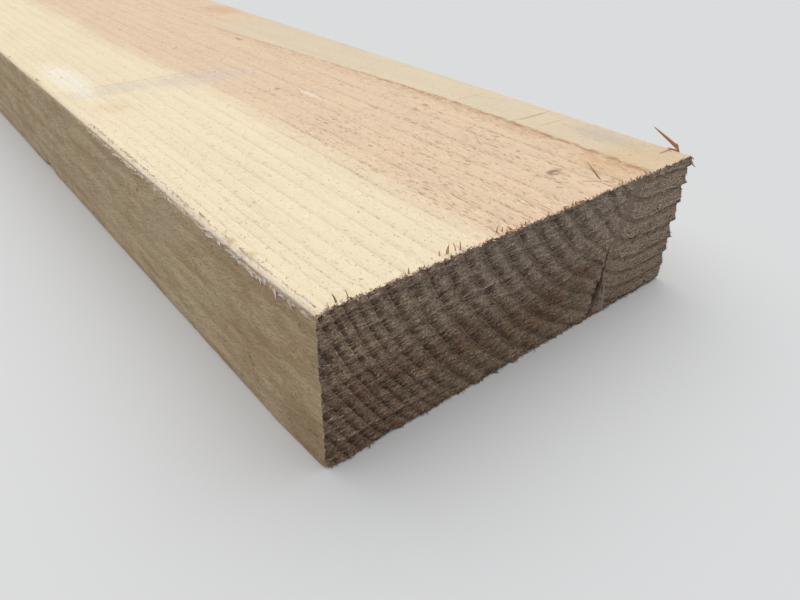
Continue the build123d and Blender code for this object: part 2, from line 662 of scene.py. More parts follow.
class Dress(Enum):
    """Which finish a face of the skin wears. The value is its place among the skin's materials."""

    SAWN_FACE = 0
    END_GRAIN = 1
    CLEFT = 2


@dataclass(frozen=True)
class MeshPlan:
    """How fine the skin's grid is: cells across and up the end, and the stations along the grain."""

    across: int = 320
    up: int = 104
    corner_cells: tuple[int, ...] = (0, 1, 2)
    # Each stretch along the grain: where it stops, its spacing, and one place in how many is kept on the
    # faces that show and on those that don't
    stations: tuple[tuple[float, float, int, int], ...] = (
        (5.6, 0.7, 1, 1),
        (20.0, 1.44, 2, 2),
        (90.0, 2.0, 2, 4),
        (240.0, 3.0, 4, 8),
        (700.0, 6.0, 4, 8),
        (1780.0, 18.0, 4, 8),
        (1794.0, 3.5, 4, 4),
    )
    far_thinning: int = 4


@dataclass
class PlankSkin:
    """The plank's whole surface as one closed mesh."""

    stock: Stock
    end: SawnEnd
    faces: LongFaces
    cracks: tuple[Crack, ...]
    plan: MeshPlan = MeshPlan()
    strip_path: Stops = (
        (0.0, 190.0),
        (150.0, 190.0),
        (250.0, 182.0),
        (375.0, 172.0),
        (430.0, 168.0),
        (1800.0, 150.0),
    )
    name: str = "sawn_plank"

    def _loop(self) -> list[tuple[int, int]]:
        """The grid places round the end's edge.

        Returns:
            Column and row of each, along the foot, up the +X side, back along the top and down.
        """
        across, up = self.plan.across, self.plan.up
        foot = [(i, 0) for i in range(across)]
        right = [(across, j) for j in range(up)]
        top = [(i, up) for i in range(across, 0, -1)]
        left = [(0, j) for j in range(up, 0, -1)]
        return foot + right + top + left

    def _kept(self, loop: list[tuple[int, int]], fine: int, coarse: int) -> list[int]:
        """Which places of the edge loop a row of the sleeve keeps.

        Args:
            loop: The edge loop's grid places.
            fine: One place in this many is kept on the top and the -X side.
            coarse: One in this many on the underside and the +X side.

        Returns:
            Places in the loop, in order.
        """
        across, up = self.plan.across, self.plan.up
        kept = []
        for place, (i, j) in enumerate(loop):
            on_fine_face = i == 0 or j == up
            along, count = (i, across) if j in (0, up) else (j, up)
            near_corner = min(along, count - along) in self.plan.corner_cells
            if near_corner or along % (fine if on_fine_face else coarse) == 0:
                kept.append(place)
        return kept

    def _grid_lines(self, count: int, thinning: int) -> list[int]:
        """The grid lines that a thinned end keeps, out of count cells."""
        corner = self.plan.corner_cells
        return [i for i in range(count + 1) if i % thinning == 0 or min(i, count - i) in corner]

    @staticmethod
    def _join_rows(near: dict[int, int], far: dict[int, int], size: int) -> Faces:
        """Faces between two rows of the sleeve, of which one keeps all the places of the other.

        Args:
            near: The nearer row's points, by their places in the loop.
            far: The farther row's points.
            size: How many places the loop has.

        Returns:
            The faces, wound so that they look outwards.
        """
        flipped = len(far) > len(near)
        fine, coarse = (far, near) if flipped else (near, far)
        corners = sorted(coarse)
        faces = []
        for place, after in zip(corners, corners[1:] + [corners[0] + size]):
            steps = [p for p in range(place, after + 1) if p % size in fine]
            ids = [fine[p % size] for p in steps]
            first, second = coarse[place], coarse[after % size]
            if len(ids) == 2:
                found = [(ids[0], ids[1], second, first)]
            else:
                middle = len(ids) // 2
                found = [(ids[k], ids[k + 1], first) for k in range(middle)]
                found += [(ids[k], ids[k + 1], second) for k in range(middle, len(ids) - 1)]
                found.append((ids[middle], second, first))
            faces += [face[::-1] for face in found] if flipped else found
        return faces

    def _stations(self) -> list[tuple[float, int, int]]:
        """The sleeve's rows.

        Returns:
            Each one's distance from the end, and how it is thinned on the fine and the coarse faces.
        """
        rows, reached = [], 0.0
        for stop, spacing, fine, coarse in self.plan.stations:
            count = max(1, round((stop - reached) / spacing))
            rows += [(reached + (stop - reached) * (k + 1) / count, fine, coarse) for k in range(count)]
            reached = stop
        return rows

    def grid(self) -> tuple[Array, Faces, list[Dress]]:
        """The closed grid on the true box.

        Returns:
            Its points in plank places, its faces, and the finish of each face.
        """
        width, length, thickness = self.stock.width, self.stock.length, self.stock.thickness
        across, up = self.plan.across, self.plan.up
        points, faces, dresses = [], [], []

        def point(i: int, v: float, j: int) -> int:
            """Adds the point of a grid place, and returns its number."""
            points.append((width * i / across, v, thickness * j / up))
            return len(points) - 1

        near = {(i, j): point(i, 0.0, j) for i in range(across + 1) for j in range(up + 1)}
        for i in range(across):
            for j in range(up):
                faces.append((near[i, j], near[i + 1, j], near[i + 1, j + 1], near[i, j + 1]))
        dresses += [Dress.END_GRAIN] * len(faces)

        loop = self._loop()
        row = {place: near[spot] for place, spot in enumerate(loop)}
        for v, fine, coarse in self._stations():
            kept = self._kept(loop, fine, coarse)
            next_row = {place: point(loop[place][0], v, loop[place][1]) for place in kept}
            faces += [face[::-1] for face in self._join_rows(row, next_row, len(loop))]
            row = next_row

        thinning = self.plan.far_thinning
        columns, levels = self._grid_lines(across, thinning), self._grid_lines(up, thinning)
        far = {(i, j): point(i, length, j) for i in columns for j in levels}
        last = {place: far[loop[place]] for place in self._kept(loop, thinning, thinning)}
        faces += [face[::-1] for face in self._join_rows(row, last, len(loop))]
        dresses += [Dress.SAWN_FACE] * (len(faces) - len(dresses))
        for i, next_i in zip(columns, columns[1:]):
            for j, next_j in zip(levels, levels[1:]):
                faces.append((far[i, j], far[i, next_j], far[next_i, next_j], far[next_i, j]))
        dresses += [Dress.END_GRAIN] * (len(faces) - len(dresses))
        return np.array(points), faces, dresses

    def _note_grain(self, mesh: bpy.types.Mesh, points: Array, on_end: Array) -> None:
        """Writes what the finishes read from each point: rings, saw rows, smooth streak, way into the strip.

        Args:
            mesh: The mesh to write to.
            points: Its points in plank places, before the relief moved them.
            on_end: Which of them lie on the split end.
        """
        u, v, z = points.T
        count = self.end.rings.count(u, v, z)
        streak = np.where(on_end, self.end.in_streak(u, z), 0.0)
        distances, offsets = np.array(self.strip_path).T
        waver = 1.2 * self.faces.noise.layered(v / 24.0, 17.5, 0.0, 3)
        strip = u - np.interp(v, distances, offsets) + waver
        rows = self.end.rows(u, z)
        for name, values in ((GROWTH, count), (ROWS, rows), (STREAK, streak), (STRIP, strip)):
            attribute = mesh.attributes.new(name, "FLOAT", "POINT")
            attribute.data.foreach_set("value", values.astype(np.float32))

    def _cut(self, skin: bpy.types.Object, crack: Crack) -> None:
        """Cuts a crack out of the skin.

        Args:
            skin: The plank's object.
            crack: What to cut out of it.
        """
        points, faces = crack.build()
        mesh = bpy.data.meshes.new("crack_waste")
        mesh.from_pydata(self.stock.to_row_frame(points).tolist(), [], faces)
        self._note_grain(mesh, points, np.zeros(len(points), bool))
        for material in skin.data.materials:
            mesh.materials.append(material)
        mesh.polygons.foreach_set("material_index", [Dress.CLEFT.value] * len(mesh.polygons))
        waste = bpy.data.objects.new("crack_waste", mesh)
        bpy.context.scene.collection.objects.link(waste)
        modifier = skin.modifiers.new("cut", "BOOLEAN")
        modifier.operation = "DIFFERENCE"
        modifier.solver = "MANIFOLD"
        modifier.object = waste
        bpy.context.view_layer.objects.active = skin
        bpy.ops.object.modifier_apply(modifier=modifier.name)
        bpy.data.objects.remove(waste)

    def build(self, materials: dict[Dress, bpy.types.Material]) -> bpy.types.Object:
        """Makes the dressed skin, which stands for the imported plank.

        Args:
            materials: The finish for each kind of face.

        Returns:
            The finished object.
        """
        points, faces, dresses = self.grid()
        mesh = bpy.data.meshes.new(self.name)
        mesh.from_pydata(self.stock.to_row_frame(self.faces.place(points, self.end)).tolist(), [], faces)
        for dress in Dress:
            mesh.materials.append(materials[dress])
        mesh.polygons.foreach_set("material_index", [dress.value for dress in dresses])
        self._note_grain(mesh, points, points[:, 1] == 0.0)
        skin = bpy.data.objects.new(self.name, mesh)
        bpy.context.scene.collection.objects.link(skin)
        for crack in self.cracks:
            self._cut(skin, crack)
        soften(skin.data)
        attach(skin, BODY)
        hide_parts(NODE)
        return skin


def soften(mesh: bpy.types.Mesh) -> None:
    """Shades a mesh smoothly, apart from the edges where two finishes meet.

    Args:
        mesh: The mesh to shade.
    """
    mesh.polygons.foreach_set("use_smooth", [True] * len(mesh.polygons))
    edge_of_loop = np.zeros(len(mesh.loops), int)
    mesh.loops.foreach_get("edge_index", edge_of_loop)
    index_of_face = np.zeros(len(mesh.polygons), int)
    mesh.polygons.foreach_get("material_index", index_of_face)
    loop_counts = np.zeros(len(mesh.polygons), int)
    mesh.polygons.foreach_get("loop_total", loop_counts)
    index_of_loop = np.repeat(index_of_face, loop_counts)
    lowest = np.full(len(mesh.edges), len(Dress))
    highest = np.full(len(mesh.edges), -1)
    np.minimum.at(lowest, edge_of_loop, index_of_loop)
    np.maximum.at(highest, edge_of_loop, index_of_loop)
    sharp = mesh.attributes.get("sharp_edge") or mesh.attributes.new("sharp_edge", "BOOLEAN", "EDGE")
    sharp.data.foreach_set("value", lowest != highest)


@dataclass(frozen=True)
class Fibre:
    """One loose fibre or splinter, from its root in the wood to its tip."""

    root: Place
    reach: Place
    curl: Place
    width: float
    thickness: float
    flat: Place = (1.0, 0.0, 0.0)

    def skin(self, stations: int) -> tuple[Array, Faces]:
        """The fibre as a closed, flat-sided sliver that tapers to a point.

        Args:
            stations: How many sections it has before its tip.

        Returns:
            Its points in plank places, and its faces.
        """
        share = np.linspace(0.0, 1.0, stations + 1)[:, None]
        line = np.array(self.root) + np.array(self.reach) * share + np.array(self.curl) * share**2
        heading = np.array(self.reach) + 2.0 * np.array(self.curl) * share
        heading = heading / np.linalg.norm(heading, axis=1, keepdims=True)
        wide = np.cross(np.cross(heading, np.array(self.flat)), heading)
        wide = wide / np.maximum(np.linalg.norm(wide, axis=1, keepdims=True), 1e-6)
        thick = np.cross(wide, heading)
        taper = (1.0 - share) ** 0.6
        wide, thick = wide * taper * self.width / 2, thick * taper * self.thickness / 2
        rings = [line + wide, line + thick, line - wide, line - thick]
        points = np.stack(rings, axis=1)[:-1].reshape(-1, 3)
        tip = len(points)
        faces: Faces = [(3, 2, 1, 0)]
        for station in range(stations):
            for side in range(4):
                low, after = station * 4 + side, station * 4 + (side + 1) % 4
                if station < stations - 1:
                    faces.append((low, after, after + 4, low + 4))
                else:
                    faces.append((low, after, tip))
        return np.concatenate([points, line[-1:]]), faces


@dataclass
class FibreGroup:
    """Loose fibres of one kind, which hold to the plank and make one piece."""

    stock: Stock
    end: SawnEnd
    faces: LongFaces
    name: str = "fibres"
    seed: int = 0
    stations: int = 4
    buried: float = 0.35

    def grow(self, chance: np.random.Generator) -> list[Fibre]:
        """Makes the fibres. Each kind of group has its own way.

        Args:
            chance: Where its random numbers come from.

        Returns:
            The fibres.
        """
        raise NotImplementedError

    def on_skin(self, box_points: Array) -> Array:
        """Where points of the true box lie on the worn and sawn plank."""
        return self.faces.place(np.asarray(box_points, float), self.end)

    def build(self, material: bpy.types.Material) -> bpy.types.Object:
        """Makes the group's piece.

        Args:
            material: Its finish.

        Returns:
            The finished object.
        """
        all_points, all_faces, reached = [], [], 0
        for fibre in self.grow(np.random.default_rng(self.seed)):
            points, faces = fibre.skin(self.stations)
            all_points.append(points)
            all_faces += [tuple(corner + reached for corner in face) for face in faces]
            reached += len(points)
        mesh = bpy.data.meshes.new(self.name)
        mesh.from_pydata(self.stock.to_row_frame(np.concatenate(all_points)).tolist(), [], all_faces)
        mesh.materials.append(material)
        piece = bpy.data.objects.new(self.name, mesh)
        bpy.context.scene.collection.objects.link(piece)
        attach(piece, BODY)
        return piece


@dataclass
class EndFuzz(FibreGroup):
    """The short broken fibres that the saw left standing along the edges of the end."""

    name: str = "end_fuzz"
    seed: int = 101
    on_top: int = 800
    on_foot: int = 1300
    on_right: int = 90
    clumps: int = 40
    lengths: tuple[float, float] = (0.45, 0.45)
    longest: float = 2.6
    longest_at_foot: float = 2.4

    def grow(self, chance: np.random.Generator) -> list[Fibre]:
        """Sets fibres along the top, foot and +X edges, most of them in clumps.

        Args:
            chance: Where its random numbers come from.

        Returns:
            The fibres.
        """
        width, thickness = self.stock.width, self.stock.thickness
        middles = chance.uniform(1.0, width - 1.0, self.clumps)
        spots, outs = [], []
        for edge, count in (("top", self.on_top), ("foot", self.on_foot), ("right", self.on_right)):
            for _ in range(count):
                if chance.random() < 0.5:
                    u = chance.uniform(1.0, width - 1.0)
                else:
                    u = chance.choice(middles) + chance.normal(0.0, 1.6)
                u = float(np.clip(u, 1.0, width - 1.0))
                inwards = chance.uniform(0.0, 0.9)
                rise = chance.uniform(0.0, 1.3)
                if edge == "top":
                    spots.append((u, 0.0, thickness - inwards * 0.3))
                    outs.append((0.0, -0.75, rise))
                elif edge == "foot":
                    spots.append((u, 0.0, inwards))
                    outs.append((0.0, -0.95, -0.35 * rise))
                else:
                    spots.append((width, 0.0, chance.uniform(3.0, thickness - 2.0)))
                    outs.append((0.3 * rise, -0.95, 0.0))
        fibres = []
        for (x, y, z), out in zip(self.on_skin(spots), outs):
            longest = self.longest if z > thickness / 2 else self.longest_at_foot
            length = min(self.lengths[0] + chance.exponential(self.lengths[1]), longest)
            heading = np.array(out) + chance.normal(0.0, 0.45, 3)
            heading = heading / np.linalg.norm(heading) * length
            heading[2] = max(heading[2], 0.2 - z)
            curl = chance.normal(0.0, 0.22, 3) * length
            curl[2] = max(curl[2], 0.05 - z - heading[2])
            width, thick = chance.uniform(0.3, 0.95), chance.uniform(0.2, 0.45)
            fibres.append(Fibre((x, y + self.buried, z), tuple(heading), tuple(curl), width, thick))
        return fibres


@dataclass
class EdgeChips(FibreGroup):
    """The flat chips and crumbs, paler than the end, that hang on its top edge where the saw broke out."""

    name: str = "edge_chips"
    seed: int = 151
    heaps: tuple[tuple[float, float, int], ...] = (
        (4.0, 2.6, 20),
        (15.0, 2.0, 16),
        (21.0, 2.5, 12),
        (30.0, 3.0, 18),
        (39.0, 2.0, 10),
        (46.5, 1.6, 16),
        (62.0, 3.0, 10),
        (90.0, 5.0, 12),
        (136.0, 4.0, 12),
        (150.0, 4.0, 10),
        (168.0, 4.0, 14),
        (182.0, 3.0, 22),
        (189.0, 1.6, 14),
        (112.0, 60.0, 170),
    )

    def grow(self, chance: np.random.Generator) -> list[Fibre]:
        """Heaps chips about each heap's middle, half sunk in the edge.

        Args:
            chance: Where its random numbers come from.

        Returns:
            The fibres.
        """
        spots = []
        for middle, spread, count in self.heaps:
            for _ in range(count):
                u = float(np.clip(middle + chance.normal(0.0, spread), 0.5, self.stock.width - 2.0))
                spots.append((u, abs(chance.normal(0.0, 0.7)), self.stock.thickness))
        fibres = []
        for x, y, z in self.on_skin(spots):
            length = min(0.5 + chance.exponential(0.6), 2.2)
            heading = np.array((chance.normal(0.0, 0.7), chance.normal(-0.3, 0.6), chance.uniform(0.0, 1.0)))
            heading = heading / max(float(np.linalg.norm(heading)), 0.3) * length
            curl = chance.normal(0.0, 0.2, 3) * length
            width = chance.uniform(0.5, 1.2)
            flat = tuple(chance.normal(0.0, 1.0, 3))
            fibres.append(Fibre((x, y, z - 0.05), tuple(heading), tuple(curl), width, width * 0.45, flat))
        return fibres


@dataclass
class StandingFibres(FibreGroup):
    """The longer fibres that stand up from the top edge of the end, each where the plank has one."""

    name: str = "standing_fibres"
    seed: int = 211
    roots: tuple[Place, ...] = (
        (9.6, 1.6, 3.9),
        (14.2, 1.4, 3.6),
        (17.0, 0.7, 1.7),
        (38.0, 0.6, 1.8),
        (40.5, 0.8, 2.6),
        (47.0, 0.9, 2.0),
        (57.0, 4.0, 4.0),
        (60.0, 3.2, 4.8),
        (60.7, 3.0, 4.2),
        (64.2, 2.6, 4.6),
        (66.0, 2.4, 5.0),
        (87.0, 4.0, 6.2),
        (89.0, 3.0, 2.2),
        (101.0, 1.2, 2.3),
        (103.5, 1.0, 1.8),
        (115.0, 0.9, 2.6),
        (130.0, 0.8, 3.0),
        (132.0, 0.6, 2.0),
        (164.0, 1.0, 3.2),
        (166.0, 0.8, 2.6),
        (178.0, 0.8, 2.4),
        (181.0, 1.2, 2.6),
    )

    def grow(self, chance: np.random.Generator) -> list[Fibre]:
        """Stands the fibres up, leaning a little and bent at random.

        Args:
            chance: Where its random numbers come from.

        Returns:
            The fibres.
        """
        fibres = []
        places = self.on_skin([(u, v, self.stock.thickness) for u, v, _ in self.roots])
        for (x, y, z), (_, _, length) in zip(places, self.roots):
            lean = chance.normal(0.0, 0.16, 2) * length
            heading = (lean[0], 0.10 * length + lean[1], length)
            curl = chance.normal(0.0, 0.15, 3) * length
            width = chance.uniform(0.6, 1.0)
            fibres.append(Fibre((x, y, z - self.buried), heading, tuple(curl), width, width * 0.4))
        return fibres


@dataclass
class ArrisFray(FibreGroup):
    """Pale slivers torn along the top arris of the -X side, lying nearly along the grain."""

    name: str = "arris_fray"
    seed: int = 307
    count: int = 1500
    dense_along: float = 130.0
    reach_along: float = 620.0
    clumps: int = 34

    def grow(self, chance: np.random.Generator) -> list[Fibre]:
        """Lays slivers along the arris, thickest towards the split end and in clumps.

        Args:
            chance: Where its random numbers come from.

        Returns:
            The fibres.
        """
        thickness = self.stock.thickness
        middles = self.dense_along * chance.random(self.clumps) ** 0.8 * 1.7
        spots = []
        for _ in range(self.count):
            draw = chance.random()
            if draw < 0.6:
                v = 2.5 + abs(chance.choice(middles) + chance.normal(0.0, 4.0))
            elif draw < 0.9:
                v = chance.uniform(3.0, self.dense_along * 1.5)
            else:
                v = chance.uniform(3.0, self.reach_along)
            around = chance.uniform(-0.35, 1.25)
            spots.append((max(0.0, 2.2 * around), v, thickness - max(0.0, 2.2 * (1.0 - around))))
        fibres = []
        for x, y, z in self.on_skin(spots):
            length = min(1.1 + chance.exponential(1.5), 6.0)
            way = 1.0 if chance.random() < 0.5 or y < 9.0 else -1.0
            outwards = chance.uniform(-0.08, 0.27)
            heading = (-outwards * length, way * length, chance.uniform(-0.25, 0.20) * length)
            curl = (chance.normal(-0.01, 0.07) * length, 0.0, chance.normal(0.0, 0.09) * length)
            width = chance.uniform(0.5, 1.7)
            flat = (0.5, 0.0, 0.7)
            fibres.append(Fibre((x + 0.12, y, z - 0.10), heading, curl, width, width * 0.3, flat))
        return fibres


@dataclass
class FaceSlivers(FibreGroup):
    """Short slivers that the saw lifted off the top and the -X side."""

    name: str = "face_slivers"
    seed: int = 409
    on_top: int = 900
    on_side: int = 420
    reach_along: float = 760.0

    def grow(self, chance: np.random.Generator) -> list[Fibre]:
        """Scatters slivers, more of them in the heartwood, nearly flat on the wood.

        Args:
            chance: Where its random numbers come from.

        Returns:
            The fibres.
        """
        spots, thickness = [], self.stock.thickness
        for number in range(self.on_top + self.on_side):
            v = 2.0 + self.reach_along * chance.random() ** 1.5
            if number < self.on_top:
                u = chance.uniform(70.0, 188.0) if chance.random() < 0.62 else chance.uniform(3.0, 222.0)
                spots.append((u, v, thickness))
            else:
                spots.append((0.0, v, chance.uniform(2.0, thickness - 3.0)))
        fibres = []
        for number, (x, y, z) in enumerate(self.on_skin(spots)):
            length = min(0.7 + chance.exponential(0.8), 4.5)
            way = 1.0 if chance.random() < 0.7 else -1.0
            width = chance.uniform(0.14, 0.36)
            lift = chance.uniform(0.02, 0.22) * length
            drift = chance.normal(0.0, 0.12) * length
            if number < self.on_top:
                root, heading, flat = (x, y, z - 0.12), (drift, way * length, lift), (1.0, 0.0, 0.0)
                curl = (chance.normal(0.0, 0.08) * length, 0.0, chance.normal(0.0, 0.05) * length)
            else:
                root, heading, flat = (x + 0.12, y, z), (-lift, way * length, drift), (0.0, 0.0, 1.0)
                curl = (chance.normal(0.0, 0.04) * length, 0.0, chance.normal(0.0, 0.08) * length)
            fibres.append(Fibre(root, heading, curl, width, width * 0.4, flat))
        return fibres


@dataclass
class PlacedSlivers(FibreGroup):
    """Slivers that each have their own place on the plank."""

    stations: int = 9
    roots: tuple[Place, ...] = ()
    slivers: tuple[tuple[int, Fibre], ...] = ()

    def grow(self, chance: np.random.Generator) -> list[Fibre]:
        """Moves each sliver, given from the root that it names, to where that root lies."""
        places = self.on_skin(self.roots)
        return [replace(sliver, root=tuple(places[root] + sliver.root)) for root, sliver in self.slivers]


@dataclass
class CornerSplinter(PlacedSlivers):
    """The broad splinter that stands up by the +X corner, folded at its foot."""

    name: str = "corner_splinter"
    roots: tuple[Place, ...] = ((224.3, 8.6, 72.0),)
    slivers: tuple[tuple[int, Fibre], ...] = (
        (0, Fibre((0.2, -0.3, -0.4), (0.2, 1.5, 3.4), (0.0, 0.6, 1.1), 1.5, 0.7, (0.5, -0.8, 0.2))),
        (0, Fibre((0.2, 0.7, 2.0), (-0.6, 13.8, 6.5), (-0.2, 1.6, 0.6), 1.9, 0.5, (0.43, -0.28, 0.82))),
        (0, Fibre((0.5, 1.2, 2.7), (-0.7, 9.4, 3.9), (0.2, 0.4, 0.5), 1.0, 0.4, (0.43, -0.28, 0.82))),
        (0, Fibre((0.1, 0.6, 0.1), (-0.1, 4.6, 0.9), (-0.2, 1.0, -0.6), 1.5, 0.5, (0.43, -0.28, 0.82))),
    )


@dataclass
class CurledSplinter(PlacedSlivers):
    """The weathered splinter that curls out from under the +X corner."""

    name: str = "curled_splinter"
    roots: tuple[Place, ...] = ((223.4, 0.0, 71.0), (224.6, 0.0, 70.0))
    slivers: tuple[tuple[int, Fibre], ...] = (
        (0, Fibre((-0.6, 0.5, 0.2), (0.6, -1.6, -4.0), (4.4, -0.8, -1.2), 1.7, 0.8)),
        (0, Fibre((-0.2, 0.5, 0.8), (2.6, -0.9, 0.4), (0.8, 0.0, -2.4), 1.3, 0.6)),
        (1, Fibre((-0.4, 0.4, 0.0), (2.0, -1.0, -1.2), (0.8, 0.0, -1.0), 1.0, 0.5)),
    )


@dataclass
class LiftedFibre(PlacedSlivers):
    """The long dark fibre that the saw lifted off the top, and the two that it left lying."""

    name: str = "lifted_fibre"
    roots: tuple[Place, ...] = ((161.0, 9.0, 72.0),)
    slivers: tuple[tuple[int, Fibre], ...] = (
        (0, Fibre((0.0, 0.0, -0.3), (10.0, 14.0, 1.5), (2.6, 4.8, 0.2), 0.9, 0.5)),
        (0, Fibre((0.0, 0.0, -0.1), (-5.0, 5.0, 0.35), (-3.0, 1.0, -0.2), 0.5, 0.3)),
        (0, Fibre((0.5, 0.0, -0.1), (2.4, -4.0, 0.35), (2.0, -1.0, -0.2), 0.5, 0.3)),
    )


@dataclass
class SplitLip(PlacedSlivers):
    """The slivers that still stand along the +X wall of the heart split."""

    name: str = "split_lip"
    roots: tuple[Place, ...] = ((171.2, 0.0, 3.0), (169.6, 0.0, 8.0), (167.6, 0.0, 24.0))
    slivers: tuple[tuple[int, Fibre], ...] = (
        (0, Fibre((0.2, 0.2, -1.6), (-2.6, -1.2, 16.0), (-1.0, 0.6, 3.0), 3.2, 1.1)),
        (1, Fibre((-1.2, 0.6, -6.0), (-1.0, -0.5, 13.0), (-0.6, 0.4, 3.0), 2.4, 0.9)),
        (2, Fibre((0.2, 0.5, -4.0), (-0.8, -0.5, 13.0), (-0.8, 0.3, 2.0), 1.1, 0.7)),
    )


MATH = "ShaderNodeMath"
VECTOR_MATH = "ShaderNodeVectorMath"
MAPPING = "ShaderNodeMapping"
NOISE = "ShaderNodeTexNoise"
RANGE = "ShaderNodeMapRange"
MIX = "ShaderNodeMix"
# Sockets of the nodes that have several of one name
FROM_MIN, FROM_MAX, TO_MIN, TO_MAX = 1, 2, 3, 4
MIX_FACTOR, MIX_A, MIX_B, MIX_COLOUR = 0, 6, 7, 2


def add_node(tree: Tree, kind: str, inputs: Inputs, out: int | str = 0, **settings: object) -> Socket | None:
    """Adds one node with its settings and links.

    Args:
        tree: The material's node tree.
        kind: The node's type name.
        inputs: What each input takes: another node's output, or a value.
        out: Which output to give back.
        **settings: The node's own properties.

    Returns:
        That output of the new node, or None if it has no output.
    """
    node = tree.nodes.new(kind)
    for name, value in settings.items():
        setattr(node, name, value)
    for key, value in inputs.items():
        value = value.socket if isinstance(value, Value) else value
        if isinstance(value, Socket):
            tree.links.new(value, node.inputs[key])
        else:
            node.inputs[key].default_value = value
    return node.outputs[out] if len(node.outputs) else None


@dataclass(frozen=True)
class Value:
    """A number that varies over a surface. Arithmetic with it adds nodes to its material."""

    socket: Socket

    def __add__(self, other: "Value | float") -> "Value":
        """The sum of the two."""
        return Value(add_node(self.socket.id_data, MATH, {0: self, 1: other}, operation="ADD"))

    def __sub__(self, other: "Value | float") -> "Value":
        """The other taken from this."""
        return Value(add_node(self.socket.id_data, MATH, {0: self, 1: other}, operation="SUBTRACT"))

    def __rsub__(self, other: float) -> "Value":
        """This taken from a number."""
        return Value(add_node(self.socket.id_data, MATH, {0: other, 1: self}, operation="SUBTRACT"))

    def __mul__(self, other: "Value | float") -> "Value":
        """The product of the two."""
        return Value(add_node(self.socket.id_data, MATH, {0: self, 1: other}, operation="MULTIPLY"))

    __radd__ = __add__
    __rmul__ = __mul__

    def fraction(self) -> "Value":
        """What is left of a count without its whole number."""
        return Value(add_node(self.socket.id_data, MATH, {0: self}, operation="FRACT"))

    def curve(self, stops: Stops) -> "Value":
        """A curve through a few stops, level before the first and after the last.

        Args:
            stops: Each one's value and the curve's height there, in rising order of value.

        Returns:
            The curve's height at this value.
        """
        height = stops[0][1]
        for (start, low), (stop, high) in zip(stops, stops[1:]):
            inputs = {"Value": self, FROM_MIN: start, FROM_MAX: stop, TO_MIN: 0.0, TO_MAX: high - low}
            rise = add_node(self.socket.id_data, RANGE, inputs, interpolation_type="SMOOTHSTEP")
            height = Value(rise) + height
        return height


@dataclass(frozen=True)
class Pattern:
    """Soft random patches of a real size, in millimetres across, along the grain and up.

    The contrast stretches the noise about its middle. The curve, if there is one, turns it into a strength.
    """

    patch: Place
    detail: float = 2.0
    roughness: float = 0.5
    tilt: float = 0.0
    shift: float = 0.0
    contrast: float = 3.0
    curve: Stops = ()


@dataclass(frozen=True)
class Stain:
    """A patch of another colour: its middle in plank places, its half sizes and how strongly it shows."""

    middle: Place
    reach: Place
    tint: str
    strength: float
    softness: float = 0.5


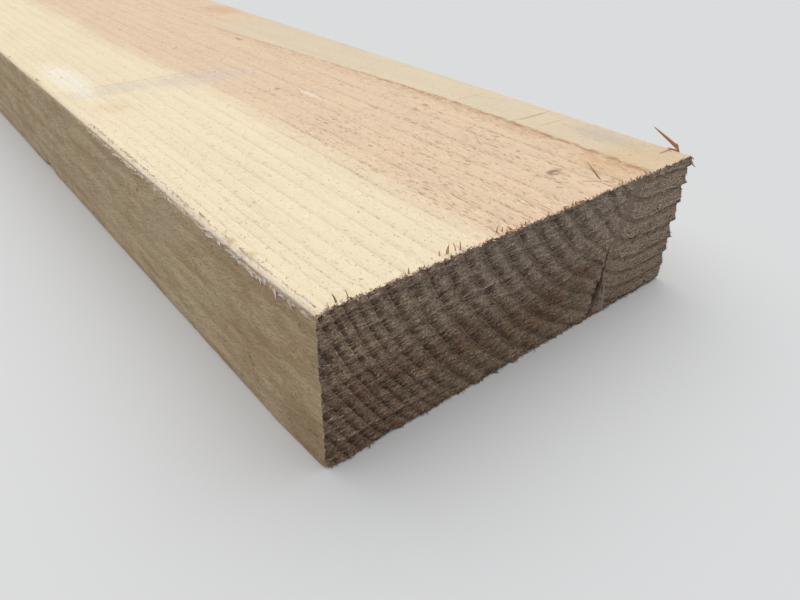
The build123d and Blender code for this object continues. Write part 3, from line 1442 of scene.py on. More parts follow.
class Surface:
    """A material in the making: where its points lie, and the colour and fine relief laid so far."""

    def __init__(self, title: str, stock: Stock) -> None:
        """Starts an empty material.

        Args:
            title: The material's name.
            stock: The plank's sizes and place.
        """
        self.material = bpy.data.materials.new(title)
        self.material.use_nodes = True
        self.tree = self.material.node_tree
        self.tree.nodes.clear()
        self.tint: Socket | tuple[float, ...] = ()
        self.height: Value | None = None
        self.woven: dict[Pattern, Value] = {}
        metres = self.add("ShaderNodeTexCoord", {}, "Object")
        self.place = self.add(VECTOR_MATH, {0: metres, 1: (1.0 / METRES_PER_MM,) * 3}, operation="MULTIPLY")
        corner = (stock.left, stock.near, 0.0)
        self.spot = self.add(VECTOR_MATH, {0: self.place, 1: corner}, operation="SUBTRACT")
        outputs = self.add("ShaderNodeSeparateXYZ", {0: self.spot}).node.outputs
        self.u, self.v, self.z = (Value(output) for output in outputs)

    def add(self, kind: str, inputs: Inputs, out: int | str = 0, **settings: object) -> Socket:
        """Adds a node to this material, as add_node does."""
        return add_node(self.tree, kind, inputs, out, **settings)

    def read(self, name: str) -> Value:
        """A value that the skin's mesh carries at each of its points."""
        return Value(self.add("ShaderNodeAttribute", {}, "Fac", attribute_name=name))

    def weave(self, pattern: Pattern) -> Value:
        """Adds a pattern, unless it is there already.

        Args:
            pattern: What to add.

        Returns:
            A value from 0 to 1, on average 0.5 where the pattern has no curve.
        """
        if pattern not in self.woven:
            inputs = {"Vector": self.place, "Location": (pattern.shift,) * 3, "Scale": pattern.patch}
            inputs["Rotation"] = (0.0, pattern.tilt, 0.0)
            stretched = self.add(MAPPING, inputs, vector_type="TEXTURE")
            layers = {"Detail": pattern.detail, "Roughness": pattern.roughness}
            noise = self.add(NOISE, {"Vector": stretched, "Scale": 1.0, **layers})
            half = 0.5 / pattern.contrast
            value = Value(self.add(RANGE, {"Value": noise, FROM_MIN: 0.5 - half, FROM_MAX: 0.5 + half}))
            self.woven[pattern] = value.curve(pattern.curve) if pattern.curve else value
        return self.woven[pattern]

    def cover(self, code: str) -> None:
        """Starts from one colour all over."""
        self.tint = colour(code)

    def lay(self, share: Value, over: str) -> None:
        """Lays a colour over what is there.

        Args:
            share: How much of it shows.
            over: Its code.
        """
        inputs = {MIX_FACTOR: share, MIX_A: self.tint, MIX_B: colour(over)}
        self.tint = self.add(MIX, inputs, MIX_COLOUR, data_type="RGBA")

    def stain(self, stains: tuple[Stain, ...], edge: Pattern) -> None:
        """Lays soft-edged stains over what is there.

        Args:
            stains: What to lay, in turn.
            edge: The pattern that frays their edges.
        """
        outline = 1.0 + STAIN_FRAY / 2
        for stain in stains:
            away = self.add(VECTOR_MATH, {0: self.spot, 1: stain.middle}, operation="SUBTRACT")
            away = self.add(VECTOR_MATH, {0: away, 1: stain.reach}, operation="DIVIDE")
            away = Value(self.add(VECTOR_MATH, {0: away}, "Value", operation="LENGTH"))
            half = stain.softness / 2
            fades = ((outline - half, stain.strength), (outline + half, 0.0))
            self.lay((away + STAIN_FRAY * self.weave(edge)).curve(fades), stain.tint)

    def shade(self, tone: Value) -> None:
        """Lightens or darkens what is there."""
        self.tint = self.add(VECTOR_MATH, {0: self.tint, "Scale": tone}, operation="SCALE")

    def lift(self, share: Value, millimetres: float) -> None:
        """Raises the fine relief, or sinks it where the height is below 0.

        Args:
            share: Where, and how much of the height.
            millimetres: The height.
        """
        self.height = share * millimetres if self.height is None else self.height + share * millimetres


@dataclass(frozen=True)
class Finish:
    """What every finish shares: dry bare wood is matt, and its cell walls have an IOR of 1.53."""

    title: str = "wood"
    roughness: float = 0.82
    specular: float = 0.3
    ior: float = 1.53

    def dress(self, wood: Surface, stock: Stock) -> None:
        """Lays the colours and the fine relief. Each finish has its own way.

        Args:
            wood: The material in the making.
            stock: The plank's sizes.
        """
        raise NotImplementedError

    def build(self, stock: Stock) -> bpy.types.Material:
        """Makes the material.

        Args:
            stock: The plank's sizes and place.

        Returns:
            The material.
        """
        wood = Surface(self.title, stock)
        self.dress(wood, stock)
        inputs = {"Base Color": wood.tint, "Roughness": self.roughness, "IOR": self.ior}
        inputs["Specular IOR Level"] = self.specular
        if wood.height:
            bump = {"Height": wood.height, "Distance": METRES_PER_MM, "Strength": 1.0}
            inputs["Normal"] = wood.add("ShaderNodeBump", bump)
        shader = wood.add("ShaderNodeBsdfPrincipled", inputs)
        wood.add("ShaderNodeOutputMaterial", {"Surface": shader})
        return wood.material


@dataclass(frozen=True)
class FaceMasks:
    """Where the marks of the long faces belong: strip is in millimetres, and the rest are from 0 to 1."""

    part: Value
    heart: Value
    near: Value
    sideways: Value
    flat: Value
    sawn: Value
    smooth: Value
    strip: Value
    by_strip: Value


@dataclass(frozen=True)
class RoughSawnSoftwood(Finish):
    """Pine or spruce straight off a coarse saw: matt, furred along the grain, cream towards the bark."""

    title: str = "rough_sawn_softwood"

    # The eye sees dull cream sapwood and pinker heartwood, each ring ending in a broken brown line
    sapwood: str = "#f2e2c2"
    heartwood: str = "#e7ccae"
    ring_line: str = "#b39a78"
    heart_line: str = "#a37a55"
    heart_edge: Stops = ((16.0, 1.0), (18.7, 0.0))  # by rings from the pith
    heart_recedes: Stops = ((200.0, 0.0), (450.0, -0.9))  # rings fewer, at these distances from the split end
    heart_drift: Pattern = Pattern((16.0, 120.0, 16.0), 2.0, contrast=1.0)
    heart_streaks: Pattern = Pattern((1.6, 26.0, 1.6), 3.0, 0.6, contrast=2.0)
    ring_waver: Pattern = Pattern((4.0, 60.0, 4.0), 3.0, contrast=1.0)
    late_band: Stops = ((0.55, 0.0), (0.95, 0.09), (1.0, 0.0))  # by the share of the ring crossed
    late_line: Stops = ((0.76, 0.0), (0.90, 1.0), (0.96, 1.0), (1.0, 0.0))
    line_dots: Pattern = Pattern((1.3, 2.0, 1.3), 2.0, 0.65, contrast=1.0, curve=((0.48, 0.05), (0.60, 1.0)))
    line_weight: Pattern = Pattern((5.0, 30.0, 5.0), 3.0, 0.6, shift=9.0, curve=((0.2, 0.0), (0.9, 0.42)))
    marks_fade: Stops = ((60.0, 1.0), (330.0, 0.45))  # as the eye parts them less, away from the split end

    # The saw left short dark dashes, pits and pale chips on the top, more of them in the heartwood
    pit: str = "#94754f"
    chip: str = "#f6ead2"
    dashes: Pattern = Pattern(
        (0.8, 6.0, 0.8), 2.5, 0.65, shift=40.0, contrast=1.0, curve=((0.55, 0.0), (0.68, 1.0))
    )
    dash_clusters: Pattern = Pattern((14.0, 34.0, 14.0), 2.0, shift=43.0, curve=((0.2, 0.25), (0.8, 1.0)))
    dashes_in_heart: Stops = ((0.0, 0.16), (1.0, 0.68))
    pits: Pattern = Pattern(
        (1.1, 1.8, 1.1), 3.0, 0.7, shift=11.0, contrast=1.0, curve=((0.62, 0.0), (0.72, 0.6))
    )
    blobs: Pattern = Pattern(
        (2.4, 5.0, 2.4), 1.0, 0.5, shift=15.0, contrast=1.0, curve=((0.68, 0.0), (0.74, 0.5))
    )
    blobs_in_heart: Stops = ((0.0, 0.45), (1.0, 1.0))
    chips: Pattern = Pattern(
        (1.6, 4.0, 1.6), 1.0, 0.5, shift=19.0, contrast=1.0, curve=((0.68, 0.0), (0.74, 0.6))
    )

    # A strip along the +X side is smooth and greyer. Its edge is bruised and torn.
    smooth_strip: str = "#e0cfb3"
    bruise: str = "#b98f68"
    strip_side: Stops = ((-0.8, 0.0), (1.0, 1.0))  # by millimetres past its edge, as are the next two
    bruised: Stops = ((-17.0, 0.0), (-5.0, 0.55), (-1.5, 0.7), (0.0, 0.0))
    torn_line: Stops = ((-3.4, 0.0), (-1.4, 0.6), (-0.2, 0.6), (0.9, 0.0))
    strip_far_end: Stops = ((390.0, 1.0), (470.0, 0.0))
    top_from: Stops = ((-3.0, 0.0), (-1.5, 1.0))  # by millimetres above the top
    blotches: Pattern = Pattern((3.0, 7.0, 3.0), 3.0, 0.6, shift=70.0)
    blotchy: Stops = ((0.15, 0.35), (0.8, 1.0))
    torn: Pattern = Pattern((1.6, 4.5, 1.6), 3.0, 0.6, shift=63.0)

    # The narrow sides are duller and browner, mottled, with orange flecks and grey clouds. Their base colour
    # is painted light: a paler cream than the top's, for the less light that falls on a face that looks
    # sideways.
    side_painted_lighter: str = "#fae5bf"
    side_band: str = "#caa676"
    side_fleck: str = "#a86f3a"
    side_grey: str = "#dccdb1"
    side_share: float = 0.85
    side_from: Stops = ((0.6, 0.0), (0.9, 1.0))  # by how squarely the face looks sideways
    side_late_band: Stops = ((0.0, 0.0), (0.75, 0.52), (1.0, 0.0))
    pale_clouds: Pattern = Pattern((18.0, 34.0, 9.0), 2.0, 0.6, shift=99.0, curve=((0.45, 0.0), (0.75, 0.45)))
    warm_clouds: Pattern = Pattern((14.0, 26.0, 8.0), 2.0, 0.6, shift=105.0, curve=((0.5, 0.0), (0.8, 0.24)))
    clouds: Pattern = Pattern((12.0, 30.0, 9.0), 3.0, 0.6, shift=57.0)
    mottle: Pattern = Pattern((1.4, 3.0, 1.3), 3.0, 0.75, shift=51.0, contrast=4.0)
    flecks: Pattern = Pattern(
        (1.3, 2.0, 0.9), 2.0, 0.6, shift=77.0, contrast=1.0, curve=((0.55, 0.0), (0.64, 0.7))
    )
    fleck_clusters: Pattern = Pattern((6.0, 11.0, 6.0), 2.0, 0.6, shift=91.0, curve=((0.5, 0.1), (0.85, 1.0)))
    grit: Pattern = Pattern((0.8, 1.6, 0.8), 2.0, 0.65, shift=97.0, contrast=2.0)
    gritty: Stops = ((50.0, 1.0), (110.0, 0.0))  # by distance from the split end

    # The top arris of the -X side is frayed to a broken pale line
    fray: str = "#eaddcf"
    ragged_arris: Pattern = Pattern((1.6, 5.0, 1.6), 3.0, 0.75, shift=83.0)
    fray_across: Stops = ((-0.9, 1.0), (0.6, 0.0))  # by millimetres from the -X side
    fray_down: Stops = ((-1.4, 0.0), (-0.2, 1.0))  # by millimetres above the top
    fray_within: Stops = ((6.0, 1.0), (9.0, 0.0))
    fray_along: Stops = ((80.0, 1.0), (210.0, 0.35), (420.0, 0.1))
    fray_torn: Stops = ((0.25, 0.3), (0.6, 1.0))
    fray_spells: Pattern = Pattern((30.0, 26.0, 30.0), 2.0, shift=85.0, curve=((0.1, 0.15), (0.5, 1.0)))
    crumbs: Pattern = Pattern(
        (1.4, 2.6, 1.4), 2.0, 0.6, shift=87.0, contrast=1.0, curve=((0.62, 0.0), (0.70, 0.45))
    )

    # The wood's fibres are 0.03 mm wide. They are drawn at 0.7 mm, which is as fine as the render shows.
    broad: Pattern = Pattern((10.0, 55.0, 10.0), 3.0, 0.55, shift=5.0)
    fine: Pattern = Pattern((0.7, 4.0, 0.7), 3.0, 0.6, shift=23.0, contrast=2.0)
    fur: Pattern = Pattern((0.7, 1.0, 0.7), 2.0, 0.6, shift=31.0, contrast=2.0)
    base_tone: float = 0.893
    far_tone: Stops = ((180.0, 1.0), (330.0, 0.97))

    stain_edge: Pattern = Pattern((2.2, 7.0, 2.2), 3.0, 0.6)
    stains: tuple[Stain, ...] = (
        # A wiped smear across the top
        Stain((34.0, 280.0, 72.0), (34.0, 10.0, 9.0), "#ddd3c0", 0.6, 1.3),
        Stain((92.0, 274.0, 72.0), (32.0, 15.0, 9.0), "#decdbb", 0.7, 1.3),
        Stain((50.0, 290.5, 72.0), (48.0, 1.3, 9.0), "#b9a89b", 0.24, 1.4),
        # Paler and warmer patches of the top
        Stain((18.0, 316.0, 72.0), (9.0, 42.0, 9.0), "#f7eedb", 0.85, 0.9),
        Stain((127.0, 200.0, 72.0), (2.2, 13.0, 9.0), "#f3e6cf", 0.7, 0.9),
        Stain((21.0, 243.0, 72.0), (9.0, 10.0, 9.0), "#e8c79b", 0.4, 1.2),
        Stain((208.0, 492.0, 72.0), (15.0, 22.0, 9.0), "#d3a880", 0.5, 1.2),
        Stain((206.0, 16.0, 72.0), (16.0, 16.0, 9.0), "#dcb98c", 0.35, 1.2),
        Stain((180.0, 20.0, 72.0), (12.0, 16.0, 9.0), "#d2a876", 0.4, 1.2),
        # Small blemishes of the top, the first of them with a pale middle
        Stain((151.5, 29.0, 72.0), (4.4, 2.6, 6.0), "#7d6050", 0.75, 0.9),
        Stain((152.2, 28.2, 72.0), (2.2, 0.9, 6.0), "#d2b8a0", 0.8, 0.6),
        Stain((163.0, 365.0, 72.0), (1.8, 5.0, 6.0), "#8d725c", 0.6, 1.0),
        Stain((116.5, 222.0, 72.0), (1.3, 2.2, 6.0), "#80665a", 0.6, 1.0),
        Stain((213.0, 46.0, 72.0), (8.0, 19.0, 9.0), "#c4bbb1", 0.55, 1.2),
        Stain((170.5, 142.0, 72.0), (1.5, 2.4, 6.0), "#8f7158", 0.6, 1.0),
        # Lines that the saw left across the smooth strip
        Stain((208.0, 76.0, 72.0), (13.0, 0.9, 9.0), "#b79c7a", 0.3, 1.2),
        Stain((208.0, 90.0, 72.0), (14.0, 1.1, 9.0), "#a98c6a", 0.45, 1.2),
        Stain((206.0, 139.0, 72.0), (11.0, 0.9, 9.0), "#b79c7a", 0.25, 1.2),
        Stain((221.0, 12.6, 72.0), (6.0, 0.8, 4.0), "#8a6a4b", 0.7, 0.8),
        # Browner patches of the -X side and its top arris
        Stain((0.0, 12.0, 12.0), (4.0, 16.0, 12.0), "#80633f", 0.55, 1.2),
        Stain((0.0, 48.0, 58.0), (4.0, 5.0, 3.0), "#9a6233", 0.35, 1.4),
        Stain((0.0, 23.0, 57.0), (4.0, 5.0, 3.0), "#9a6233", 0.35, 1.4),
        Stain((1.0, 46.0, 71.5), (3.2, 4.5, 2.6), "#a87c50", 0.6, 1.2),
        Stain((1.0, 60.0, 71.5), (2.6, 3.0, 2.6), "#a87c50", 0.5, 1.2),
        Stain((0.0, 44.0, 34.0), (4.0, 16.0, 9.0), "#a97e4c", 0.35, 1.4),
    )

    def _masks(self, wood: Surface, stock: Stock) -> FaceMasks:
        """Works out where each kind of mark belongs.

        Args:
            wood: The material in the making.
            stock: The plank's sizes.

        Returns:
            The masks.
        """
        growth, strip = wood.read(GROWTH), wood.read(STRIP)
        heart = growth + wood.v.curve(self.heart_recedes)
        heart = heart + 1.4 * wood.weave(self.heart_drift) + 0.9 * wood.weave(self.heart_streaks)
        normal = wood.add("ShaderNodeTexCoord", {}, "Normal")
        normal = wood.add(VECTOR_MATH, {0: normal}, operation="ABSOLUTE")
        sideways = Value(wood.add("ShaderNodeSeparateXYZ", {0: normal}, "X")).curve(self.side_from)
        on_strip = (wood.z - stock.thickness).curve(self.top_from) * wood.v.curve(self.strip_far_end)
        smooth = strip.curve(self.strip_side) * on_strip
        near = wood.v.curve(self.marks_fade)
        return FaceMasks(
            part=(growth + 0.3 * wood.weave(self.ring_waver)).fraction(),
            heart=heart.curve(self.heart_edge),
            near=near,
            sideways=sideways,
            flat=1.0 - sideways,
            sawn=(1.0 - sideways) * (1.0 - smooth),
            smooth=smooth,
            strip=strip,
            by_strip=near * on_strip,
        )

    def _lay_ring_lines(self, wood: Surface, masks: FaceMasks) -> None:
        """Draws the dark latewood at the end of each ring, faint and broken into dots.

        Args:
            wood: The material in the making.
            masks: Where each kind of mark belongs.
        """
        wood.lay(masks.part.curve(self.late_band) * masks.sawn * masks.near, self.ring_line)
        line = masks.part.curve(self.late_line) * masks.sawn * masks.near * (0.75 + 0.4 * masks.heart)
        line = line * wood.weave(self.line_dots) * wood.weave(self.line_weight)
        wood.lay(line, self.ring_line)
        wood.lay(line * masks.heart * 0.9, self.heart_line)
        wood.lift(line, -0.22)

    def _lay_saw_marks(self, wood: Surface, masks: FaceMasks) -> None:
        """Strews the saw's dashes, pits, blobs and chips, and bruises and tears the smooth strip's edge.

        Args:
            wood: The material in the making.
            masks: Where each kind of mark belongs.
        """
        dashes = wood.weave(self.dashes) * wood.weave(self.dash_clusters) * masks.sawn * masks.near
        dashes = dashes * masks.heart.curve(self.dashes_in_heart)
        pits = wood.weave(self.pits) * masks.flat
        blobs = wood.weave(self.blobs) * masks.heart.curve(self.blobs_in_heart) * masks.sawn
        wood.lay(dashes, self.heart_line)
        wood.lay(pits, self.pit)
        wood.lay(blobs, self.heart_line)
        wood.lay(wood.weave(self.chips) * masks.sawn, self.chip)
        wood.lift(pits + dashes, -0.3)
        blotches, torn = wood.weave(self.blotches), wood.weave(self.torn)
        wood.lay(masks.strip.curve(self.bruised) * blotches * masks.by_strip, self.bruise)
        line = (masks.strip + 2.8 * torn - 1.4).curve(self.torn_line)
        line = line * blotches.curve(self.blotchy) * masks.by_strip
        wood.lay(line, self.heart_line)
        wood.lift(line, -0.35)

    def _lay_side(self, wood: Surface, masks: FaceMasks) -> None:
        """Clouds, mottles and flecks the narrow sides, which are grittier by the split end.

        Args:
            wood: The material in the making.
            masks: Where each kind of mark belongs.
        """
        side, mottle = masks.sideways, wood.weave(self.mottle) * masks.sideways
        grit = wood.weave(self.grit) * wood.v.curve(self.gritty)
        wood.lay(wood.weave(self.pale_clouds) * side, self.side_grey)
        wood.lay(wood.weave(self.warm_clouds) * side, self.side_fleck)
        wood.lay(masks.part.curve(self.side_late_band) * wood.weave(self.clouds) * side, self.side_band)
        wood.lay(mottle * 0.4, self.side_band)
        wood.lay(grit * side * 0.25, self.side_fleck)
        wood.lay(grit * masks.smooth * 0.22, self.side_band)
        wood.lay(wood.weave(self.flecks) * wood.weave(self.fleck_clusters) * side, self.side_fleck)
        wood.lift(mottle, 0.45)

    def _lay_frayed_arris(self, wood: Surface, stock: Stock) -> None:
        """Frays the top arris of the -X side, in spells that thin out away from the split end.

        Args:
            wood: The material in the making.
            stock: The plank's sizes.
        """
        ragged = wood.weave(self.ragged_arris)
        frayed = (wood.u - 3.6 * ragged).curve(self.fray_across)
        frayed = frayed * (wood.z + 2.4 * ragged - stock.thickness).curve(self.fray_down)
        frayed = frayed * wood.v.curve(self.fray_along) * wood.u.curve(self.fray_within)
        frayed = frayed * wood.weave(self.torn).curve(self.fray_torn) * wood.weave(self.fray_spells)
        wood.lay(frayed, self.fray)
        wood.lay(frayed * wood.weave(self.crumbs), self.side_fleck)

    def _shade_fibres(self, wood: Surface, masks: FaceMasks) -> None:
        """Varies the tone with the fibres, more of it in the heartwood, and raises the fibres a little.

        Args:
            wood: The material in the making.
            masks: Where each kind of mark belongs.
        """
        broad, fine, fur = (wood.weave(pattern) for pattern in (self.broad, self.fine, self.fur))
        tone = self.base_tone + 0.055 * broad + 0.085 * (fine + fur) - 0.03 * masks.part
        wood.shade(tone * wood.v.curve(self.far_tone) + 0.05 * masks.heart * (fine - 0.5))
        wood.lift(fine, 0.12)
        wood.lift(fur, 0.09)

    def dress(self, wood: Surface, stock: Stock) -> None:
        """Lays the long faces' colours in turn, from the bare wood to the marks on it.

        Args:
            wood: The material in the making.
            stock: The plank's sizes.
        """
        masks = self._masks(wood, stock)
        wood.cover(self.sapwood)
        wood.lay(masks.heart, self.heartwood)
        wood.lay(masks.smooth, self.smooth_strip)
        # Painted light: faces that look sideways get a paler base colour, for the less light that falls on
        # them
        wood.lay(masks.sideways * self.side_share, self.side_painted_lighter)
        wood.stain(self.stains, self.stain_edge)
        self._lay_ring_lines(wood, masks)
        self._lay_saw_marks(wood, masks)
        self._lay_side(wood, masks)
        self._lay_frayed_arris(wood, stock)
        self._shade_fibres(wood, masks)


@dataclass(frozen=True)
class EndMasks:
    """Where the marks of the end belong. Each is from 0 to 1 over the surface."""

    part: Value
    row: Value
    half_row: Value
    streak: Value
    coarse: Value
    left: Value
    right: Value
    middle: Value


@dataclass(frozen=True)
class SawnEndGrain(Finish):
    """Softwood cut across the grain by a rough saw and weathered: grey-brown, streaked by its strokes."""

    title: str = "weathered_end_grain"
    roughness: float = 0.9
    specular: float = 0.2

    # The eye sees matt grey-brown fur, darkest at the end of each ring, where the saw's teeth combed it out
    earlywood: str = "#b0967e"
    heart_side: str = "#bfaa94"
    latewood: str = "#543a2b"
    # Pale torn earlywood at the start of each ring, partly a painted highlight along the ring's edge
    torn_edge_highlight: str = "#c2aa92"
    heartwards: Stops = ((120.0, 0.0), (182.0, 1.0))  # by millimetres from the -X side, as are the next two
    middle: Stops = ((48.0, 0.0), (66.0, 1.0))
    past_split: Stops = ((168.0, 0.0), (184.0, 1.0))
    waver: Pattern = Pattern((2.2, 2.2, 1.0), 2.0, tilt=STROKE_SLOPE, contrast=1.0)
    late_rises: Stops = ((-0.05, 0.0), (0.12, 1.0))
    late_by_part: Stops = ((0.25, 0.30), (0.93, 1.0))
    squarish_cells: Pattern = Pattern((16.0, 16.0, 7.0), 1.5, 0.6, STROKE_SLOPE, 19.0)
    upright_cells: Pattern = Pattern((11.0, 11.0, 24.0), 1.5, 0.6, STROKE_SLOPE, 67.0)
    late_by_cell: Stops = ((0.05, 0.5), (0.6, 1.0))
    late_between_teeth: Stops = ((0.45, 1.0), (0.8, 0.35))
    # Painted light: the latewood is drawn fainter on the proud foot of each row of the saw's strokes
    painted_light_on_row_foot: Stops = ((0.0, 1.0), (0.45, 0.0))
    # Painted shade: dark lines along the rings past the split, as the shade under their ledges
    ring_ledge_shade_lines: Stops = ((0.64, 0.0), (0.68, 0.5), (0.72, 0.0), (0.88, 0.0), (0.96, 1.0))
    lines_by_tone: Stops = ((0.15, 0.15), (0.7, 0.9))
    ring_start: Stops = ((0.0, 0.85), (0.08, 0.45), (0.2, 0.25), (0.5, 0.0))
    start_by_tone: Stops = ((0.0, 0.4), (0.8, 1.0))

    # Torn pits, pale chips and drops of resin between the strokes
    pit: str = "#4a3a31"
    speck: str = "#cdbfae"
    resin: str = "#94663f"
    pits: Pattern = Pattern((2.4, 2.4, 1.1), 2.0, 0.6, STROKE_SLOPE, 41.0, 1.0, ((0.60, 0.0), (0.68, 0.9)))
    pits_heartwards: Stops = ((0.0, 0.5), (1.0, 0.9))
    specks: Pattern = Pattern((1.5, 1.5, 0.6), 1.0, 0.5, STROKE_SLOPE, 47.0, 1.0, ((0.60, 0.0), (0.67, 0.95)))
    grains: Pattern = Pattern((2.6, 2.6, 1.0), 1.5, 0.6, STROKE_SLOPE, 61.0, 1.0)
    bright_grains: Stops = ((0.58, 0.0), (0.68, 0.8))
    amber_grains: Stops = ((0.32, 0.5), (0.39, 0.0))

    # The smooth streak above the split is burnished, and lined up and down
    burnished: str = "#8b796b"
    streak_lines: Pattern = Pattern((0.9, 3.0, 18.0), 3.0, 0.7, 0.27, 53.0)
    streak_shown: Stops = ((0.2, 0.30), (0.8, 0.76))

    # The saw's teeth left scores about half a millimetre apart. The torn fibre ends are drawn at 1 mm, which
    # is as fine as the render shows.
    teeth: Pattern = Pattern((14.0, 14.0, 0.62), 1.0, 0.5, STROKE_SLOPE, 3.0)
    comb: Pattern = Pattern((6.0, 6.0, 0.5), 1.0, 0.6, STROKE_SLOPE, 4.0)
    fine: Pattern = Pattern((3.2, 3.2, 0.5), 2.0, 0.65, STROKE_SLOPE, 7.0)
    medium: Pattern = Pattern((7.0, 7.0, 1.5), 2.0, 0.6, STROKE_SLOPE, 17.0)
    crumb: Pattern = Pattern((1.0, 1.0, 0.8), 2.0, 0.85, shift=29.0)
    base_tone: float = 0.13
    # Painted shade under the ledge at the top of each row of strokes, and painted light on the row's proud
    # foot; the next curve does the same for half rows
    painted_shade_under_ledge: Stops = ((0.0, 0.10), (0.5, 0.0), (0.9, -0.16), (1.0, -0.26))  # by the share of a row
    painted_shade_under_half_ledge: Stops = ((0.0, 0.06), (0.45, 0.0), (0.85, -0.07), (0.96, -0.14), (1.0, 0.06))
    # Painted light: the end is painted lighter towards its top, as more light falls on it from above
    painted_light_by_height: Stops = ((0.0, 0.89), (26.0, 0.91), (50.0, 1.08))  # by height

    stain_edge: Pattern = Pattern((5.0, 5.0, 3.0), 3.0)
    stains: tuple[Stain, ...] = (
        # A pale grey patch over the upper part of the end: painted light from above
        Stain((112.0, 0.0, 72.0), (78.0, 3.0, 30.0), "#b8ada2", 0.60, 1.6),
        Stain((3.0, 0.0, 50.0), (4.5, 3.0, 7.0), "#5b4c50", 0.6, 0.9),
        Stain((186.0, 0.0, 7.0), (15.0, 3.0, 5.0), "#7a5f60", 0.45, 1.2),
        # Painted shade: dark along the foot of the heart split, for the shade in its gap
        Stain((161.4, 0.0, 8.0), (1.6, 3.0, 11.0), "#4a372d", 0.6, 0.8),
        Stain((153.0, 0.0, 33.0), (9.0, 3.0, 4.0), "#7a4a34", 0.55, 1.2),
        Stain((147.0, 0.0, 22.0), (9.0, 3.0, 7.0), "#7f7a50", 0.25, 1.2),
        Stain((205.0, 0.0, 16.0), (18.0, 3.0, 12.0), "#c09a76", 0.30, 1.6),
        # Painted shade: a dark line along the narrow upper part of the heart split
        Stain((165.6, 0.0, 30.0), (0.9, 3.0, 9.0), "#33261f", 0.8, 0.9),
        Stain((174.0, 0.0, 5.0), (4.0, 3.0, 6.0), "#76605c", 0.4, 1.2),
        Stain((30.0, 0.0, 3.0), (30.0, 3.0, 6.0), "#7a5f48", 0.35, 1.2),
        Stain((24.0, 0.0, 30.0), (22.0, 3.0, 8.0), "#875b48", 0.5, 1.6),
        Stain((22.0, 0.0, 8.0), (26.0, 3.0, 8.0), "#8a5f4c", 0.4, 1.6),
        Stain((70.0, 0.0, 28.0), (18.0, 3.0, 9.0), "#8c624a", 0.45, 1.6),
        Stain((120.0, 0.0, 24.0), (26.0, 3.0, 10.0), "#8f684d", 0.45, 1.6),
    )

    def _masks(self, wood: Surface) -> EndMasks:
        """Works out the ring and row that a point is in, and which part of the end it is on.

        Args:
            wood: The material in the making.

        Returns:
            The masks.
        """
        waver, rows, streak = wood.weave(self.waver), wood.read(ROWS), wood.read(STREAK)
        right = wood.u.curve(self.heartwards)
        return EndMasks(
            part=(wood.read(GROWTH) + 0.05 * waver).fraction(),
            row=(rows + 0.12 * waver).fraction(),
            half_row=(2.0 * rows + 0.24 * waver).fraction(),
            streak=streak,
            coarse=1.0 - 0.7 * streak,
            left=1.0 - right,
            right=right,
            middle=wood.u.curve(self.middle),
        )

    def _lay_latewood(self, wood: Surface, masks: EndMasks) -> Value:
        """Darkens the end of each ring, as far back as the saw's teeth combed it.

        Args:
            wood: The material in the making.
            masks: Where each part of the end is.

        Returns:
            How strongly the latewood shows.
        """
        reach = 0.27 + 0.42 * wood.weave(self.teeth) + 0.08 * wood.weave(self.fine)
        cells = wood.weave(self.squarish_cells)
        cells = cells + 0.8 * masks.middle * (wood.weave(self.upright_cells) - cells)
        # Painted light on the proud foot of each row, where the latewood shows less
        low = masks.row.curve(self.painted_light_on_row_foot) * masks.left * (1.0 - 0.75 * masks.middle)
        late = (masks.part - reach).curve(self.late_rises) * masks.part.curve(self.late_by_part)
        late = late * cells.curve(self.late_by_cell) * wood.weave(self.comb).curve(self.late_between_teeth)
        late = late * (0.22 + 0.66 * masks.left - 0.06 * masks.middle) * masks.coarse * (1.0 - 0.4 * low)
        wood.lay(late, self.latewood)
        return late

    def _lay_marks(self, wood: Surface, masks: EndMasks, late: Value) -> None:
        """Draws the painted shade under the rings' ledges, the rings' pale torn edges with a painted
        highlight, the pits, chips and resin, and the burnished streak.

        Args:
            wood: The material in the making.
            masks: Where each part of the end is.
            late: How strongly the latewood shows.
        """
        medium = wood.weave(self.medium)
        # Painted shade under the rings' ledges past the split, in the pits' colour
        lines = masks.part.curve(self.ring_ledge_shade_lines) * wood.u.curve(self.past_split)
        wood.lay(lines * medium.curve(self.lines_by_tone), self.pit)
        # The start of each ring: pale torn fibres, partly a painted highlight
        wood.lay(masks.part.curve(self.ring_start) * medium.curve(self.start_by_tone), self.torn_edge_highlight)
        pits = wood.weave(self.pits) * masks.right.curve(self.pits_heartwards) * masks.coarse
        grains = wood.weave(self.grains)
        amber = grains.curve(self.amber_grains) * (0.25 + 0.75 * masks.right)
        lines = wood.weave(self.streak_lines).curve(self.streak_shown)
        wood.lay(pits, self.pit)
        wood.lay(wood.weave(self.specks) * masks.coarse * (1.0 - 0.6 * late), self.speck)
        wood.lay(grains.curve(self.bright_grains) * masks.right * masks.coarse, self.speck)
        wood.lay(amber * masks.coarse, self.resin)
        wood.lay(masks.streak * lines, self.burnished)
        wood.lift(pits * masks.coarse, -0.6)

    def _shade_strokes(self, wood: Surface, masks: EndMasks, late: Value) -> None:
        """Varies the tone with the fur and the scores, paints shade under the rows' ledges and light on their
        feet, paints the end lighter towards its top as light from above, and raises the fur a little.

        Args:
            wood: The material in the making.
            masks: Where each part of the end is.
            late: How strongly the latewood shows.
        """
        patterns = (self.fine, self.medium, self.comb, self.crumb)
        fine, medium, comb, crumb = (wood.weave(pattern) for pattern in patterns)
        tone = self.base_tone + 0.3 * fine + 0.24 * (medium + comb)
        tone = tone + 0.99 * crumb * (1.0 - 0.5 * late) + 0.22 * late
